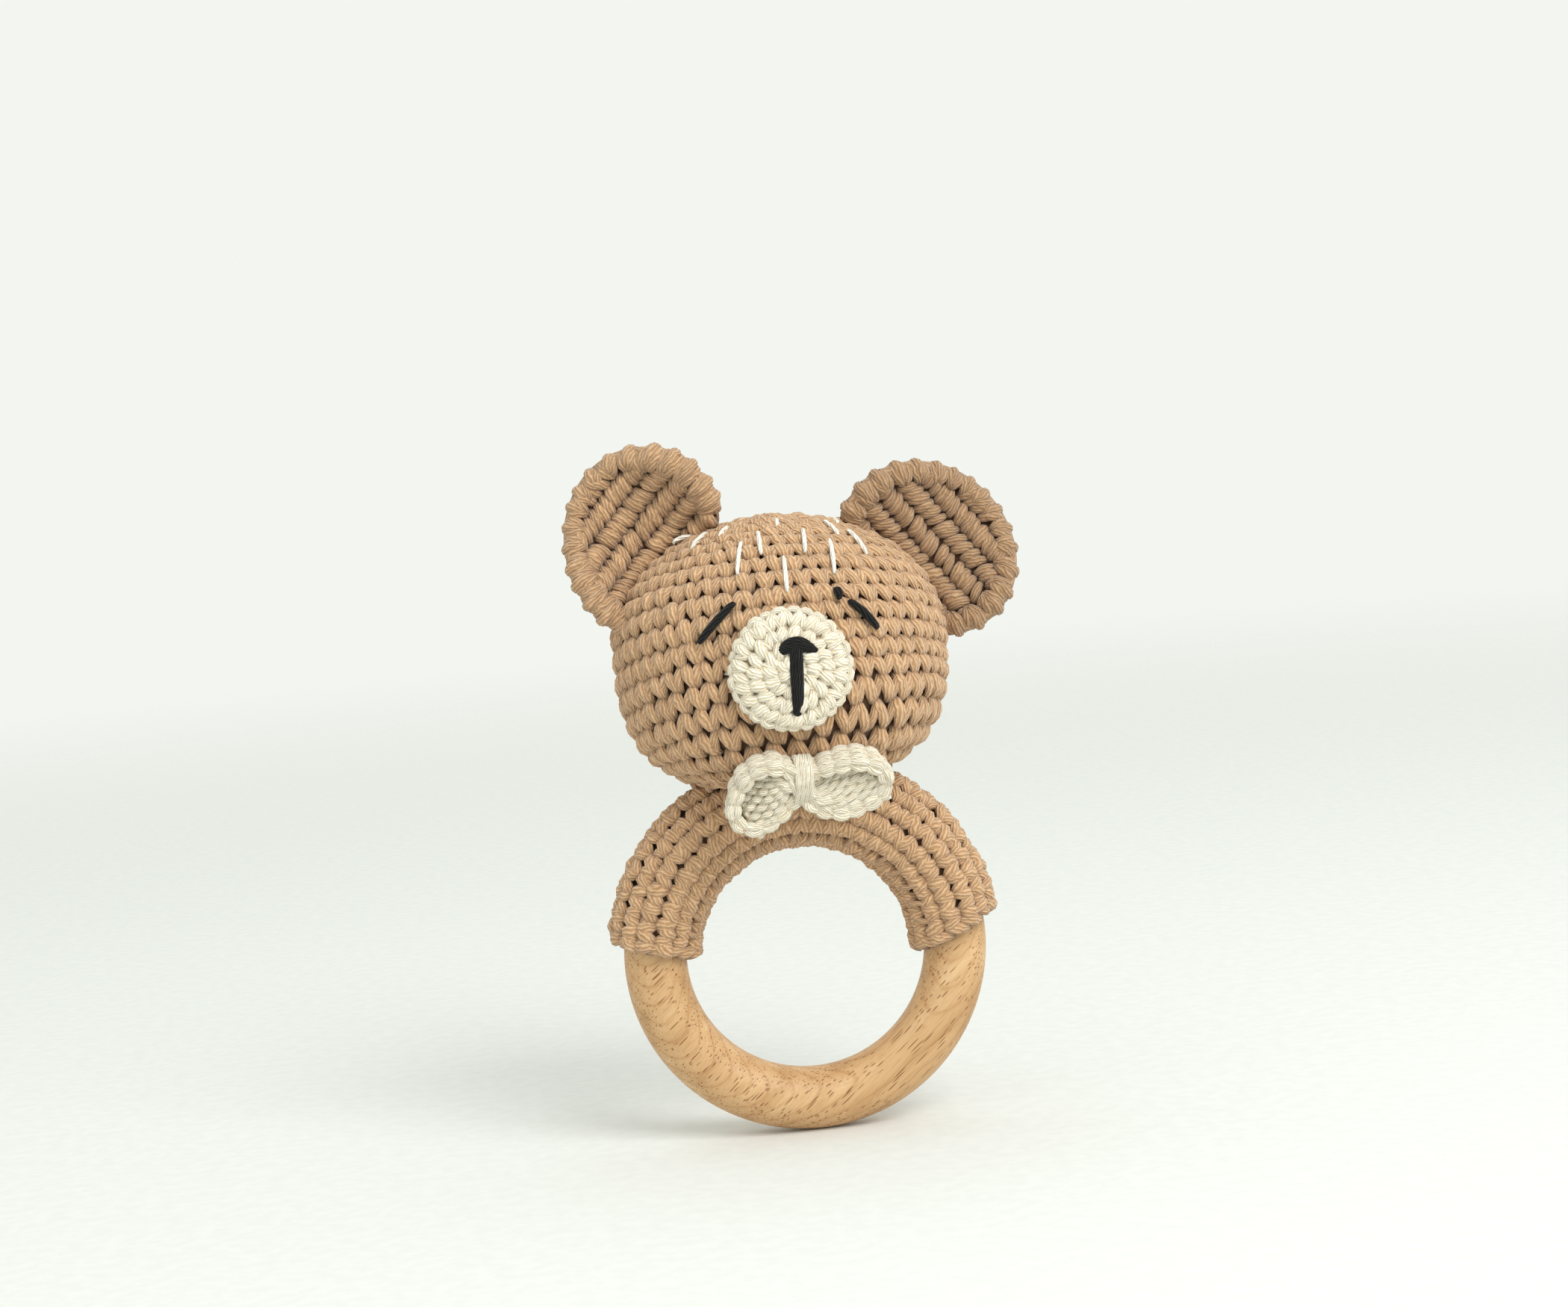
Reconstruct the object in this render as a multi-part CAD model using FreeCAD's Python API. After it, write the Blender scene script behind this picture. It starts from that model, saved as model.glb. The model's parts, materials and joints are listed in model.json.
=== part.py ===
import FreeCAD, Part
import math
import os

# Crocheted bear-head rattle on a beech teething ring, in millimetres.
# +Z runs up the toy, the face looks along -Y, and +X is on the right when the face is seen.
# The origin is the lowest point of the wooden ring.

# Wooden ring: a turned torus whose axis is Y.
RING_OUTSIDE = 70.0
RING_ROD = 12.0
RING_Z = RING_OUTSIDE / 2
RING_MAJOR = (RING_OUTSIDE - RING_ROD) / 2

# Crocheted sleeve wrapped over the upper half of the ring.
SLEEVE_ROD = 17.0
SLEEVE_CLEARANCE = 0.1
# Where its right and left ends cross the rod, and how far each is slanted to cover more of the inner side.
SLEEVE_FROM_DEG, SLEEVE_TO_DEG = 3.0, 173.3
SLEEVE_FROM_SLANT_DEG, SLEEVE_TO_SLANT_DEG = 20.0, 8.0
SLEEVE_SEAM_PITCH = 3.5
SLEEVE_SEAM_TUBE_DEG = 140.0

# Head: an upright egg, round above its widest level and fuller below it.
HEAD_HALF_WIDTH = 32.0
HEAD_HALF_DEPTH = 28.0
HEAD_WIDEST_Z = RING_Z + 60.0
HEAD_RISE = 23.8
HEAD_DROP = 28.0
HEAD_DROP_POWER = 3.0
HEAD_SKIN = 3.0
NECK_Z = 68.2
NECK_STITCHES = 18

# Rattle capsule sealed in the stuffing, and the pellets in it.
CAPSULE_OUTSIDE = 28.0
CAPSULE_WALL = 1.2
CAPSULE_LIP = 1.5
CAPSULE_LIP_GAP = 0.05
PELLET_R = 2.0
PELLET_REST_GAP = 0.1
PELLET_SPACING = 5.5
PELLETS_ROUND_CENTRE = 4
STUFFING_GAP = 0.1

# Ears: near-round crocheted flaps, cupped towards the face, each swinging about its seam.
EAR_THICKNESS = 4.4
EAR_SWING_DEG = 20.0
EAR_SWING_STEPS = 8
EAR_HEAD_GAP = 2.4
# Radius of the ball that stands for the head where an ear must clear it.
EAR_CLEAR_R = 35.0
EAR_STITCHES = 7
# Seam ends (x, z), depth of the seam's middle, long and short radius of the flap, slope of its long
# radius, how far its centre lies out from the seam and down along it, radius of the cup, and how far
# the rims reach forward.
EARS = {
    "left": {"top": (-9.6, 118.1), "low": (-28.2, 98.1), "y": 3.0, "long_r": 18.1, "short_r": 15.6,
             "slope_deg": 90.0, "out": 8.8, "down": -2.4, "cup_r": 18.5, "forward": 12.0},
    "right": {"top": (12.0, 117.6), "low": (29.9, 94.4), "y": 2.0, "long_r": 18.2, "short_r": 16.2,
              "slope_deg": -40.0, "out": 9.2, "down": 2.5, "cup_r": 27.0, "forward": 9.0},
}

# Face.
MUZZLE_X, MUZZLE_Z, MUZZLE_R, MUZZLE_THICK = -0.8, 91.1, 11.3, 3.2
MUZZLE_STITCHES = 22
NOSE_X, NOSE_Z, NOSE_WIDTH, NOSE_HEIGHT, NOSE_THICK, NOSE_BEND_R = 0.3, 96.0, 7.6, 2.4, 1.1, 7.0
MOUTH_TOP, MOUTH_LOW, MOUTH_TOP_R, MOUTH_LOW_R = (0.3, 94.3), (-0.2, 83.2), 1.2, 0.55
# Closed eyes: straight stitches, each from its upper end (x, z) to its lower end.
EYES = {
    "left": [((-10.3, 103.6), (-16.5, 97.6))],
    "right": [((11.8, 102.1), (16.0, 97.3)), ((9.2, 104.7), (9.6, 103.4))],
}
EYE_THREAD_R = 0.75
# Straight cream stitches on the forehead: upper end (x, z), then lower end (x, z).
FOREHEAD = [
    ((-15.2, 116.3), (-18.6, 115.6)), ((-12.6, 116.6), (-15.8, 114.3)),
    ((-8.4, 117.5), (-10.4, 116.0)), ((-7.0, 114.3), (-8.5, 109.2)),
    ((-3.3, 116.1), (-3.6, 112.6)), ((0.4, 111.1), (0.1, 105.4)),
    ((5.2, 115.8), (4.7, 112.2)), ((9.8, 113.3), (9.5, 107.8)),
    ((10.1, 116.9), (11.8, 114.5)), ((14.3, 114.7), (16.5, 110.6)),
    ((0.9, 118.2), (0.7, 117.2)), ((11.7, 117.3), (12.9, 116.4)),
]
FOREHEAD_THREAD_R = 0.5

# Bow: a crocheted band folded into two loops, gathered by a yarn wrap and sewn to the neck.
# It leans back at its lower edge, as the chin above it does.
BOW_X, BOW_Y, BOW_Z = -0.3, -25.8, 70.4
BOW_LEAN_DEG = 24.0
BOW_BAND = 2.3
BOW_DEPTH = 6.4
BOW_LOOPS = {
    "left": {"centre": (-7.3, -1.6), "half": (7.9, 6.0), "tilt_deg": 50.0},
    "right": {"centre": (8.0, -0.9), "half": (8.5, 6.0), "tilt_deg": 12.0},
}
BOW_WRAP_WIDTH, BOW_WRAP_HEIGHT, BOW_WRAP_WALL = 3.0, 9.9, 1.3
SEWING_YARN_R = 0.6

V = FreeCAD.Vector
X_AXIS, Y_AXIS, Z_AXIS = V(1, 0, 0), V(0, 1, 0), V(0, 0, 1)
RING_CENTRE = V(0, 0, RING_Z)
HEAD_CENTRE = V(0, 0, HEAD_WIDEST_Z)


def head_half_width(z):
    """Half of the head's width at height z."""
    rise = z - HEAD_WIDEST_Z
    if rise >= 0:
        return HEAD_HALF_WIDTH * math.sqrt(max(0.0, 1 - (rise / HEAD_RISE) ** 2))
    drop = min(1.0, -rise / HEAD_DROP)
    return HEAD_HALF_WIDTH * (1 - drop**HEAD_DROP_POWER) ** (1 / HEAD_DROP_POWER)


def face_point(x, z, lift=0.0):
    """A point on the front of the head, lifted along -Y."""
    half = head_half_width(z)
    depth = HEAD_HALF_DEPTH / HEAD_HALF_WIDTH * math.sqrt(max(0.0, half**2 - x**2))
    return V(x, -depth - lift, z)


def head_solid(grow, floor_z):
    """The head's closed outline, grown by a margin and cut flat at the neck."""
    rise = HEAD_RISE + grow
    wide = HEAD_HALF_WIDTH + grow
    dome = Part.Ellipse(V(wide, 0, HEAD_WIDEST_Z), V(0, 0, HEAD_WIDEST_Z + rise), HEAD_CENTRE)
    top = Part.ArcOfEllipse(dome, 0, math.pi / 2)
    steps = 10
    drops = [(HEAD_WIDEST_Z - floor_z) * math.sin(math.pi / 2 * i / steps) for i in range(steps + 1)]
    side = Part.BSplineCurve()
    side.interpolate(
        Points=[V(head_half_width(HEAD_WIDEST_Z - d) + grow, 0, HEAD_WIDEST_Z - d) for d in drops]
    )
    foot = V(0, 0, floor_z)
    outline = Part.Wire(Part.__sortEdges__([
        top.toShape(),
        side.toShape(),
        Part.makeLine(side.EndPoint, foot),
        Part.makeLine(foot, V(0, 0, HEAD_WIDEST_Z + rise)),
    ]))
    round_head = Part.Face(outline).revolve(V(0, 0, 0), Z_AXIS, 360)
    flatten = FreeCAD.Matrix()
    flatten.A22 = (HEAD_HALF_DEPTH + grow) / wide
    return Part.makeSolid(round_head.transformGeometry(flatten).Shells[0])


def rod_arc(radius, bore, start_deg, sweep_deg):
    """A round rod, or a tube when it has a bore, bent on the ring's centre line."""
    section = Part.Face(Part.Wire(Part.makeCircle(radius, RING_CENTRE + V(RING_MAJOR, 0, 0), Z_AXIS)))
    if bore:
        hole = Part.makeCircle(bore, RING_CENTRE + V(RING_MAJOR, 0, 0), Z_AXIS)
        section = section.cut(Part.Face(Part.Wire(hole))).Faces[0]
    section.rotate(RING_CENTRE, Y_AXIS, -start_deg)
    return section.revolve(RING_CENTRE, Y_AXIS, -sweep_deg)


def strand(p, q, r):
    """A straight piece of yarn with round ends from p to q."""
    length = (q - p).Length
    outline = Part.Wire([
        Part.makeLine(V(0, 0, -r), V(0, 0, length + r)),
        Part.Arc(V(0, 0, length + r), V(r * math.sin(math.pi / 4), 0, length + r * math.cos(math.pi / 4)),
                 V(r, 0, length)).toShape(),
        Part.makeLine(V(r, 0, length), V(r, 0, 0)),
        Part.Arc(V(r, 0, 0), V(r * math.sin(math.pi / 4), 0, -r * math.cos(math.pi / 4)),
                 V(0, 0, -r)).toShape(),
    ])
    solid = Part.Face(outline).revolve(V(0, 0, 0), Z_AXIS, 360)
    solid.Placement = FreeCAD.Placement(p, FreeCAD.Rotation(Z_AXIS, q - p))
    return solid


def fused(solids):
    whole = solids[0]
    for solid in solids[1:]:
        whole = whole.fuse(solid)
    return whole.removeSplitter()


def wooden_ring():
    return Part.makeTorus(RING_MAJOR, RING_ROD / 2, RING_CENTRE, Y_AXIS)


def ring_sleeve():
    """A tube on the upper half of the rod, each end cut off on the slant."""
    spare_deg, side, height = 15.0, 2 * SLEEVE_ROD, 14.0
    sleeve = rod_arc(SLEEVE_ROD / 2, RING_ROD / 2 + SLEEVE_CLEARANCE,
                     SLEEVE_FROM_DEG - spare_deg, SLEEVE_TO_DEG - SLEEVE_FROM_DEG + 2 * spare_deg)
    for turn_deg, slant_deg, base in ((SLEEVE_FROM_DEG, SLEEVE_FROM_SLANT_DEG, -height),
                                      (SLEEVE_TO_DEG, -SLEEVE_TO_SLANT_DEG, 0.0)):
        waste = Part.makeBox(side, side, height, V(-side / 2, -side / 2, base))
        waste.rotate(V(0, 0, 0), Y_AXIS, -turn_deg - slant_deg)
        waste.translate(sleeve_point(turn_deg, 0, 0))
        sleeve = sleeve.cut(waste)
    return sleeve


def sleeve_point(turn_deg, tube_deg, r):
    """A point at radius r from the sleeve's centre line; tube_deg turns from outward towards the face."""
    turn, tube = math.radians(turn_deg), math.radians(tube_deg)
    out = RING_MAJOR + r * math.cos(tube)
    return RING_CENTRE + V(out * math.cos(turn), -r * math.sin(tube), out * math.sin(turn))


def sleeve_seam_yarn():
    """Short stitches that draw the sleeve's two long edges together inside the ring."""
    seam_r = RING_MAJOR + SLEEVE_ROD / 2 * math.cos(math.radians(SLEEVE_SEAM_TUBE_DEG))
    margin_deg = 3.0
    span = SLEEVE_TO_DEG - SLEEVE_FROM_DEG - 2 * margin_deg
    count = int(math.radians(span) * seam_r / SLEEVE_SEAM_PITCH)
    reach_deg, r = 9.0, SLEEVE_ROD / 2 + 0.3 * SEWING_YARN_R
    stitches = []
    for i in range(count):
        turn = SLEEVE_FROM_DEG + margin_deg + span * (i + 0.5) / count
        stitches.append(strand(
            sleeve_point(turn - 1, SLEEVE_SEAM_TUBE_DEG - reach_deg, r),
            sleeve_point(turn + 1, SLEEVE_SEAM_TUBE_DEG + reach_deg, r),
            SEWING_YARN_R,
        ))
    return Part.makeCompound(stitches)


def neck_seam_yarn():
    """Whip stitches from the head's lower rim to the sleeve."""
    stitches = []
    for i in range(NECK_STITCHES):
        turn = 2 * math.pi * (i + 0.5) / NECK_STITCHES
        rim = head_half_width(NECK_Z + 1)
        depth = HEAD_HALF_DEPTH / HEAD_HALF_WIDTH
        high = V(rim * math.cos(turn), depth * rim * math.sin(turn), NECK_Z + 1)
        x = (rim - 1.5) * math.cos(turn)
        y = SLEEVE_ROD / 2 * 0.9 * math.sin(turn)
        across = math.sqrt((SLEEVE_ROD / 2) ** 2 - y**2)
        low = V(x, y, RING_Z + math.sqrt((RING_MAJOR + across) ** 2 - x**2) - 0.3)
        stitches.append(strand(high, low, SEWING_YARN_R))
    return Part.makeCompound(stitches)


def head_skin(sleeve_clear):
    shell = head_solid(0, NECK_Z).cut(head_solid(-HEAD_SKIN, NECK_Z - 1))
    return shell.cut(sleeve_clear)


def head_stuffing(sleeve_clear):
    fill = head_solid(-HEAD_SKIN - STUFFING_GAP, NECK_Z + 2)
    room = Part.makeSphere(CAPSULE_OUTSIDE / 2 + STUFFING_GAP, HEAD_CENTRE)
    return fill.cut(room).cut(sleeve_clear)


def capsule_shells():
    """Two halves of the rattle ball; the lower one's lip plugs into the upper one's rebate."""
    outer, inner = CAPSULE_OUTSIDE / 2, CAPSULE_OUTSIDE / 2 - CAPSULE_WALL
    ball = Part.makeSphere(outer, HEAD_CENTRE).cut(Part.makeSphere(inner, HEAD_CENTRE))
    low_corner = HEAD_CENTRE - V(outer, outer, outer)
    below = Part.makeBox(2 * outer, 2 * outer, outer, low_corner)
    lip_r = inner + CAPSULE_WALL / 2
    lip = ball.common(Part.makeCylinder(lip_r, CAPSULE_LIP, HEAD_CENTRE))
    rebate = Part.makeCylinder(lip_r + CAPSULE_LIP_GAP, CAPSULE_LIP + CAPSULE_LIP_GAP, HEAD_CENTRE)
    return {
        "capsule_lower_shell": ball.common(below).fuse(lip).removeSplitter(),
        "capsule_upper_shell": ball.cut(below).cut(rebate),
    }


def pellets():
    """Loose pellets, each at the low end of its own upright run across the capsule."""
    room = CAPSULE_OUTSIDE / 2 - CAPSULE_WALL - PELLET_R - PELLET_REST_GAP
    places = [(0.0, 0.0)] + [
        (PELLET_SPACING * math.cos(2 * math.pi * (i + 0.5) / PELLETS_ROUND_CENTRE),
         PELLET_SPACING * math.sin(2 * math.pi * (i + 0.5) / PELLETS_ROUND_CENTRE))
        for i in range(PELLETS_ROUND_CENTRE)
    ]
    balls = {}
    for number, (x, y) in enumerate(places, 1):
        drop = math.sqrt(room**2 - x**2 - y**2)
        print(f"pellet_{number} travel {2 * drop:.2f} mm")
        balls[f"pellet_{number}"] = Part.makeSphere(PELLET_R, HEAD_CENTRE + V(x, y, -drop))
    return balls


def ear_frame(ear):
    """The seam's middle, its direction from top to low end, and the way the ear stands out."""
    top = V(ear["top"][0], ear["y"], ear["top"][1])
    low = V(ear["low"][0], ear["y"], ear["low"][1])
    along = (low - top).normalize()
    out = Y_AXIS.cross(along)
    if out.x * top.x < 0:
        out = -out
    return (top + low) * 0.5, along, out


def ear_flap(ear):
    """A slice of a cupped shell with an oval outline, clear of the head over its whole swing."""
    middle, along, out = ear_frame(ear)
    middle_of_cup = middle + along * ear["down"]
    cup_axis = middle_of_cup - V(0, ear["cup_r"], 0) - out * 6
    length = ear["out"] + ear["long_r"] + 12
    cup = Part.makeCylinder(ear["cup_r"] + EAR_THICKNESS / 2, length, cup_axis, out)
    cup = cup.cut(Part.makeCylinder(ear["cup_r"] - EAR_THICKNESS / 2, length, cup_axis, out))
    front = middle_of_cup + out * ear["out"] - V(0, ear["forward"], 0)
    oval = Part.Face(Part.Wire(Part.Ellipse(V(0, 0, 0), ear["long_r"], ear["short_r"]).toShape()))
    oval.rotate(V(0, 0, 0), X_AXIS, 90)
    oval.rotate(V(0, 0, 0), Y_AXIS, -ear["slope_deg"])
    oval.translate(front)
    outline = oval.extrude(V(0, ear["forward"] + EAR_THICKNESS, 0))
    flap = cup.common(outline)
    root = on_head_side(middle, ear["y"], out)
    beside = Part.makeSphere(EAR_CLEAR_R, root - out * (EAR_CLEAR_R - EAR_HEAD_GAP))
    for step in range(EAR_SWING_STEPS + 1):
        turned = beside.copy()
        turned.rotate(middle, along, EAR_SWING_DEG * (2 * step / EAR_SWING_STEPS - 1))
        flap = flap.cut(turned)
    return max(flap.Solids, key=lambda solid: solid.Volume)


def ear_seam_yarn(ear):
    """Whip stitches on the head, just behind the ear's root."""
    middle, along, out = ear_frame(ear)
    half = ear["short_r"] * 0.75
    stitches = []
    for i in range(EAR_STITCHES):
        shift = half * (2 * i / (EAR_STITCHES - 1) - 1)
        spot = middle + along * shift
        behind = ear["y"] + EAR_THICKNESS / 2 + 1.6 - shift**2 / (2 * ear["cup_r"]) * 0.3
        stitches.append(strand(on_head_side(spot, behind, out), on_head_side(spot, behind + 2.2, out), SEWING_YARN_R))
    return Part.makeCompound(stitches)


def on_head_side(spot, y, out):
    """Where a line through spot along out, at depth y, leaves the head."""
    reach, step = -12.0, 0.05
    point = V(spot.x, y, spot.z) + out * reach
    while inside_head(point):
        point = point + out * step
    return point


def inside_head(point):
    half = head_half_width(point.z)
    return (point.x / HEAD_HALF_WIDTH) ** 2 + (point.y / HEAD_HALF_DEPTH) ** 2 < (half / HEAD_HALF_WIDTH) ** 2


def muzzle_patch(head):
    disc = Part.makeCylinder(MUZZLE_R, HEAD_HALF_DEPTH, V(MUZZLE_X, -HEAD_HALF_DEPTH - 8, MUZZLE_Z), Y_AXIS)
    return head_solid(MUZZLE_THICK, NECK_Z).common(disc).cut(head)


def muzzle_seam_thread():
    """Small stitches from the muzzle's edge down to the head."""
    stitches = []
    for i in range(MUZZLE_STITCHES):
        turn = 2 * math.pi * i / MUZZLE_STITCHES
        edge_x = MUZZLE_X + MUZZLE_R * math.cos(turn)
        edge_z = MUZZLE_Z + MUZZLE_R * math.sin(turn)
        foot_x = MUZZLE_X + (MUZZLE_R + 1.2) * math.cos(turn)
        foot_z = MUZZLE_Z + (MUZZLE_R + 1.2) * math.sin(turn)
        stitches.append(strand(face_point(edge_x, edge_z, 1.4), face_point(foot_x, foot_z, 0.1), 0.4))
    return Part.makeCompound(stitches)


def nose_embroidery():
    """A pad of satin stitch over the top of the muzzle, bent down at both ends."""
    front = face_point(NOSE_X, NOSE_Z, MUZZLE_THICK).y
    hub = V(NOSE_X, front - NOSE_THICK, NOSE_Z - NOSE_BEND_R)
    half_turn = math.degrees(math.asin(NOSE_WIDTH / 2 / NOSE_BEND_R))
    section = Part.makePlane(NOSE_THICK, NOSE_HEIGHT, hub + V(0, 0, NOSE_BEND_R + NOSE_HEIGHT / 2), -X_AXIS, Y_AXIS)
    section.rotate(hub, Y_AXIS, -half_turn)
    return section.revolve(hub, Y_AXIS, 2 * half_turn)


def mouth_line_embroidery():
    """A tapering upright bar of satin stitch below the nose."""
    top = face_point(*MOUTH_TOP, MUZZLE_THICK + MOUTH_TOP_R + 0.05)
    low = face_point(*MOUTH_LOW, MUZZLE_THICK + MOUTH_LOW_R + 0.05)
    bar = Part.makeCone(MOUTH_TOP_R, MOUTH_LOW_R, (low - top).Length, top, low - top)
    return fused([bar, Part.makeSphere(MOUTH_TOP_R, top), Part.makeSphere(MOUTH_LOW_R, low)])


def surface_stitch(upper, lower, r):
    """A straight stitch whose middle just clears the curve of the head."""
    p, q = face_point(*upper, r + 0.1), face_point(*lower, r + 0.1)
    sag = (q - p).Length ** 2 / (8 * HEAD_RISE)
    lift = V(0, -sag, sag * (1 if p.z > HEAD_WIDEST_Z + 10 else 0))
    return strand(p + lift, q + lift, r)


def surface_stitches(ends, r):
    return Part.makeCompound([surface_stitch(a, b, r) for a, b in ends])


def on_chin(shape):
    """Leans a piece of the bow, built round its own middle, and sets it in front of the chin."""
    shape.rotate(V(0, 0, 0), X_AXIS, BOW_LEAN_DEG)
    shape.translate(V(BOW_X, BOW_Y, BOW_Z))
    return shape


def bow_band():
    """Two flattened loops of one band, joined under the wrap."""
    waist, waist_depth = BOW_WRAP_HEIGHT - 2 * BOW_WRAP_WALL - 0.6, 0.6 * BOW_DEPTH
    pieces = [Part.makeBox(6, waist_depth, waist, V(-3, -waist_depth / 2, -waist / 2))]
    for loop in BOW_LOOPS.values():
        wide, high = loop["half"]
        rings = []
        for inset in (0, BOW_BAND):
            ellipse = Part.Ellipse(V(0, 0, 0), wide - inset, high - inset).toShape()
            rings.append(Part.Face(Part.Wire(ellipse)).extrude(V(0, 0, BOW_DEPTH)))
        band = rings[0].cut(rings[1])
        band.rotate(V(0, 0, 0), X_AXIS, 90)
        band.rotate(V(0, 0, 0), Y_AXIS, -loop["tilt_deg"])
        dx, dz = loop["centre"]
        band.translate(V(dx, BOW_DEPTH / 2, dz))
        pieces.append(band)
    gathered = fused(pieces).cut(bow_wrap_tube())
    return on_chin(max(gathered.Solids, key=lambda solid: solid.Volume))


def bow_wrap_tube():
    """An oval tube round the bow's waist."""
    ovals = []
    for inset, extra in ((0, 0.0), (BOW_WRAP_WALL, 0.1)):
        outline = Part.Ellipse(V(0, 0, 0), BOW_WRAP_HEIGHT / 2 - inset, BOW_DEPTH / 2 + 0.6 - inset)
        oval = Part.Face(Part.Wire(outline.toShape())).extrude(V(0, 0, BOW_WRAP_WIDTH + 2 * extra))
        oval.rotate(V(0, 0, 0), Y_AXIS, 90)
        oval.translate(V(-BOW_WRAP_WIDTH / 2 - extra, 0, 0))
        ovals.append(oval)
    return ovals[0].cut(ovals[1])


def bow_sewing_yarn():
    """The yarn that fastens the bow's wrap to the top of the sleeve."""
    behind = on_chin(Part.Vertex(0, BOW_DEPTH / 2 + 0.7, -2.4)).Point
    return strand(behind, V(BOW_X, -SLEEVE_ROD / 2 + 0.4, RING_Z + RING_MAJOR), SEWING_YARN_R)


def all_parts():
    sleeve_clear = rod_arc(SLEEVE_ROD / 2, 0, 0, 180)
    head = head_solid(0, NECK_Z)
    parts = {
        "wooden_ring": wooden_ring(),
        "ring_sleeve": ring_sleeve(),
        "sleeve_seam_yarn": sleeve_seam_yarn(),
        "neck_seam_yarn": neck_seam_yarn(),
        "head_skin": head_skin(sleeve_clear),
        "head_stuffing": head_stuffing(sleeve_clear),
        **capsule_shells(),
        **pellets(),
        "muzzle_patch": muzzle_patch(head),
        "muzzle_seam_thread": muzzle_seam_thread(),
        "nose_embroidery": nose_embroidery(),
        "mouth_line_embroidery": mouth_line_embroidery(),
        "eye_left_stitch": surface_stitches(EYES["left"], EYE_THREAD_R),
        "eye_right_stitch": surface_stitches(EYES["right"], EYE_THREAD_R),
        "forehead_stitches": surface_stitches(FOREHEAD, FOREHEAD_THREAD_R),
        "bow_band": bow_band(),
        "bow_wrap": on_chin(bow_wrap_tube()),
        "bow_sewing_yarn": bow_sewing_yarn(),
    }
    for side, ear in EARS.items():
        parts[f"ear_{side}"] = ear_flap(ear)
        parts[f"ear_{side}_seam_yarn"] = ear_seam_yarn(ear)
        middle, along, _ = ear_frame(ear)
        print(f"ear_{side} hinge at {tuple(round(v, 2) for v in middle)} along {tuple(round(v, 4) for v in along)}")
    return parts


os.makedirs("parts", exist_ok=True)
for name, shape in all_parts().items():
    print(f"{name:24s} solids {len(shape.Solids):3d} volume {shape.Volume:9.1f} valid {shape.isValid()}")
    shape.exportStep(f"parts/{name}.step")
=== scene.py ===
import json
import math

import bpy
import numpy as np
from mathutils import Matrix, Vector


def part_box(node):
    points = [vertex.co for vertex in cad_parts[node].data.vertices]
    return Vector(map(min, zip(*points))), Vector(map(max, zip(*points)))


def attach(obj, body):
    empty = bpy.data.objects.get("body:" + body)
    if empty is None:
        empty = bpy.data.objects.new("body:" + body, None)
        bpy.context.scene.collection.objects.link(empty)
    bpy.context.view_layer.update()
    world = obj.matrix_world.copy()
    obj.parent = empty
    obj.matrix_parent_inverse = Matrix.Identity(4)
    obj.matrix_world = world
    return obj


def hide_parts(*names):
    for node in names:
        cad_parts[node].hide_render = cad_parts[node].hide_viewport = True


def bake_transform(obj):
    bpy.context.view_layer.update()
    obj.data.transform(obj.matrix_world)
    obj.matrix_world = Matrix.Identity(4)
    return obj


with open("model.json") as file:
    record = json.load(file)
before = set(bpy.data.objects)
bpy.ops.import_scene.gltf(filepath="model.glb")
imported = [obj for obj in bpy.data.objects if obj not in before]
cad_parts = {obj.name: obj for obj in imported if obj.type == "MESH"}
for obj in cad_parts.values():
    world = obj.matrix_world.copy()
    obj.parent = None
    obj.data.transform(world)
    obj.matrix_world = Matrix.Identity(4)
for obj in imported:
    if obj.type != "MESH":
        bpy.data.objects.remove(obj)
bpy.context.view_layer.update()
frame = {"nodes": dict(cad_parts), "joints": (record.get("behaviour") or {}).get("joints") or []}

# Crocheted bear rattle. Shapes are in millimetres, and each mesh is scaled to metres as it is made.
MM = 0.001
FORWARD = (0.0, -1.0, 0.0)
RANDOM = np.random.default_rng(11)


def box_mm(node):
    """The two corners of a CAD node's box, in millimetres."""
    lo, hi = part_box(node)
    return np.array(lo) / MM, np.array(hi) / MM


# Sizes read from the frame.
ring_lo, ring_hi = box_mm("wooden_ring")
sleeve_lo, sleeve_hi = box_mm("ring_sleeve")
head_lo, head_hi = box_mm("head_skin")
RING_ROD = ring_hi[1] - ring_lo[1]
RING_MAJOR = (ring_hi[0] - ring_lo[0] - RING_ROD) / 2
RING_CENTRE = (ring_lo + ring_hi) / 2
SLEEVE_R = (sleeve_hi[1] - sleeve_lo[1]) / 2
HEAD_W = (head_hi[0] - head_lo[0]) / 2
HEAD_FLAT = (head_hi[1] - head_lo[1]) / 2 / HEAD_W
CROWN_Z, NECK_Z = head_hi[2], head_lo[2]

# The head's outline: round above its widest level, fuller below it.
WIDEST_Z, HEAD_DROP, DROP_POWER = 95.0, 28.0, 3.0
STITCH = 3.5
ROW = 3.55
FABRIC_INSET = 1.5
# Corners round a strand of yarn, and points along one leaf of a stitch.
STRAND_SIDES = 8
LEAF_SAMPLES = 7
# A stitch's tone, painted shade that darkens it deep in the fabric: at the fabric, how fast it rises with the
# height over it, and at its darkest.
SHADE_AT_FABRIC, SHADE_RISE, SHADE_DARKEST = 0.50, 0.42, 0.34
# Tone of the plain layer under the brown stitches, seen only through their gaps: painted shade in the gaps.
UNDER_SHADE = 0.42


def unit(v):
    """Vectors of length 1 the same way."""
    return v / np.maximum(np.linalg.norm(v, axis=-1, keepdims=True), 1e-9)


def smooth_weights(points, samples):
    """Weights that carry control points to samples on a smooth curve through them."""
    weights = np.zeros((samples, points))
    for k in range(samples):
        x = k * (points - 1) / (samples - 1)
        i = min(int(x), points - 2)
        f = x - i
        basis = (-f / 2 + f * f - f**3 / 2, 1 - 2.5 * f * f + 1.5 * f**3,
                 f / 2 + 2 * f * f - 1.5 * f**3, -f * f / 2 + f**3 / 2)
        for j, b in enumerate(basis):
            weights[k, min(max(i - 1 + j, 0), points - 1)] += b
    return weights


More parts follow.
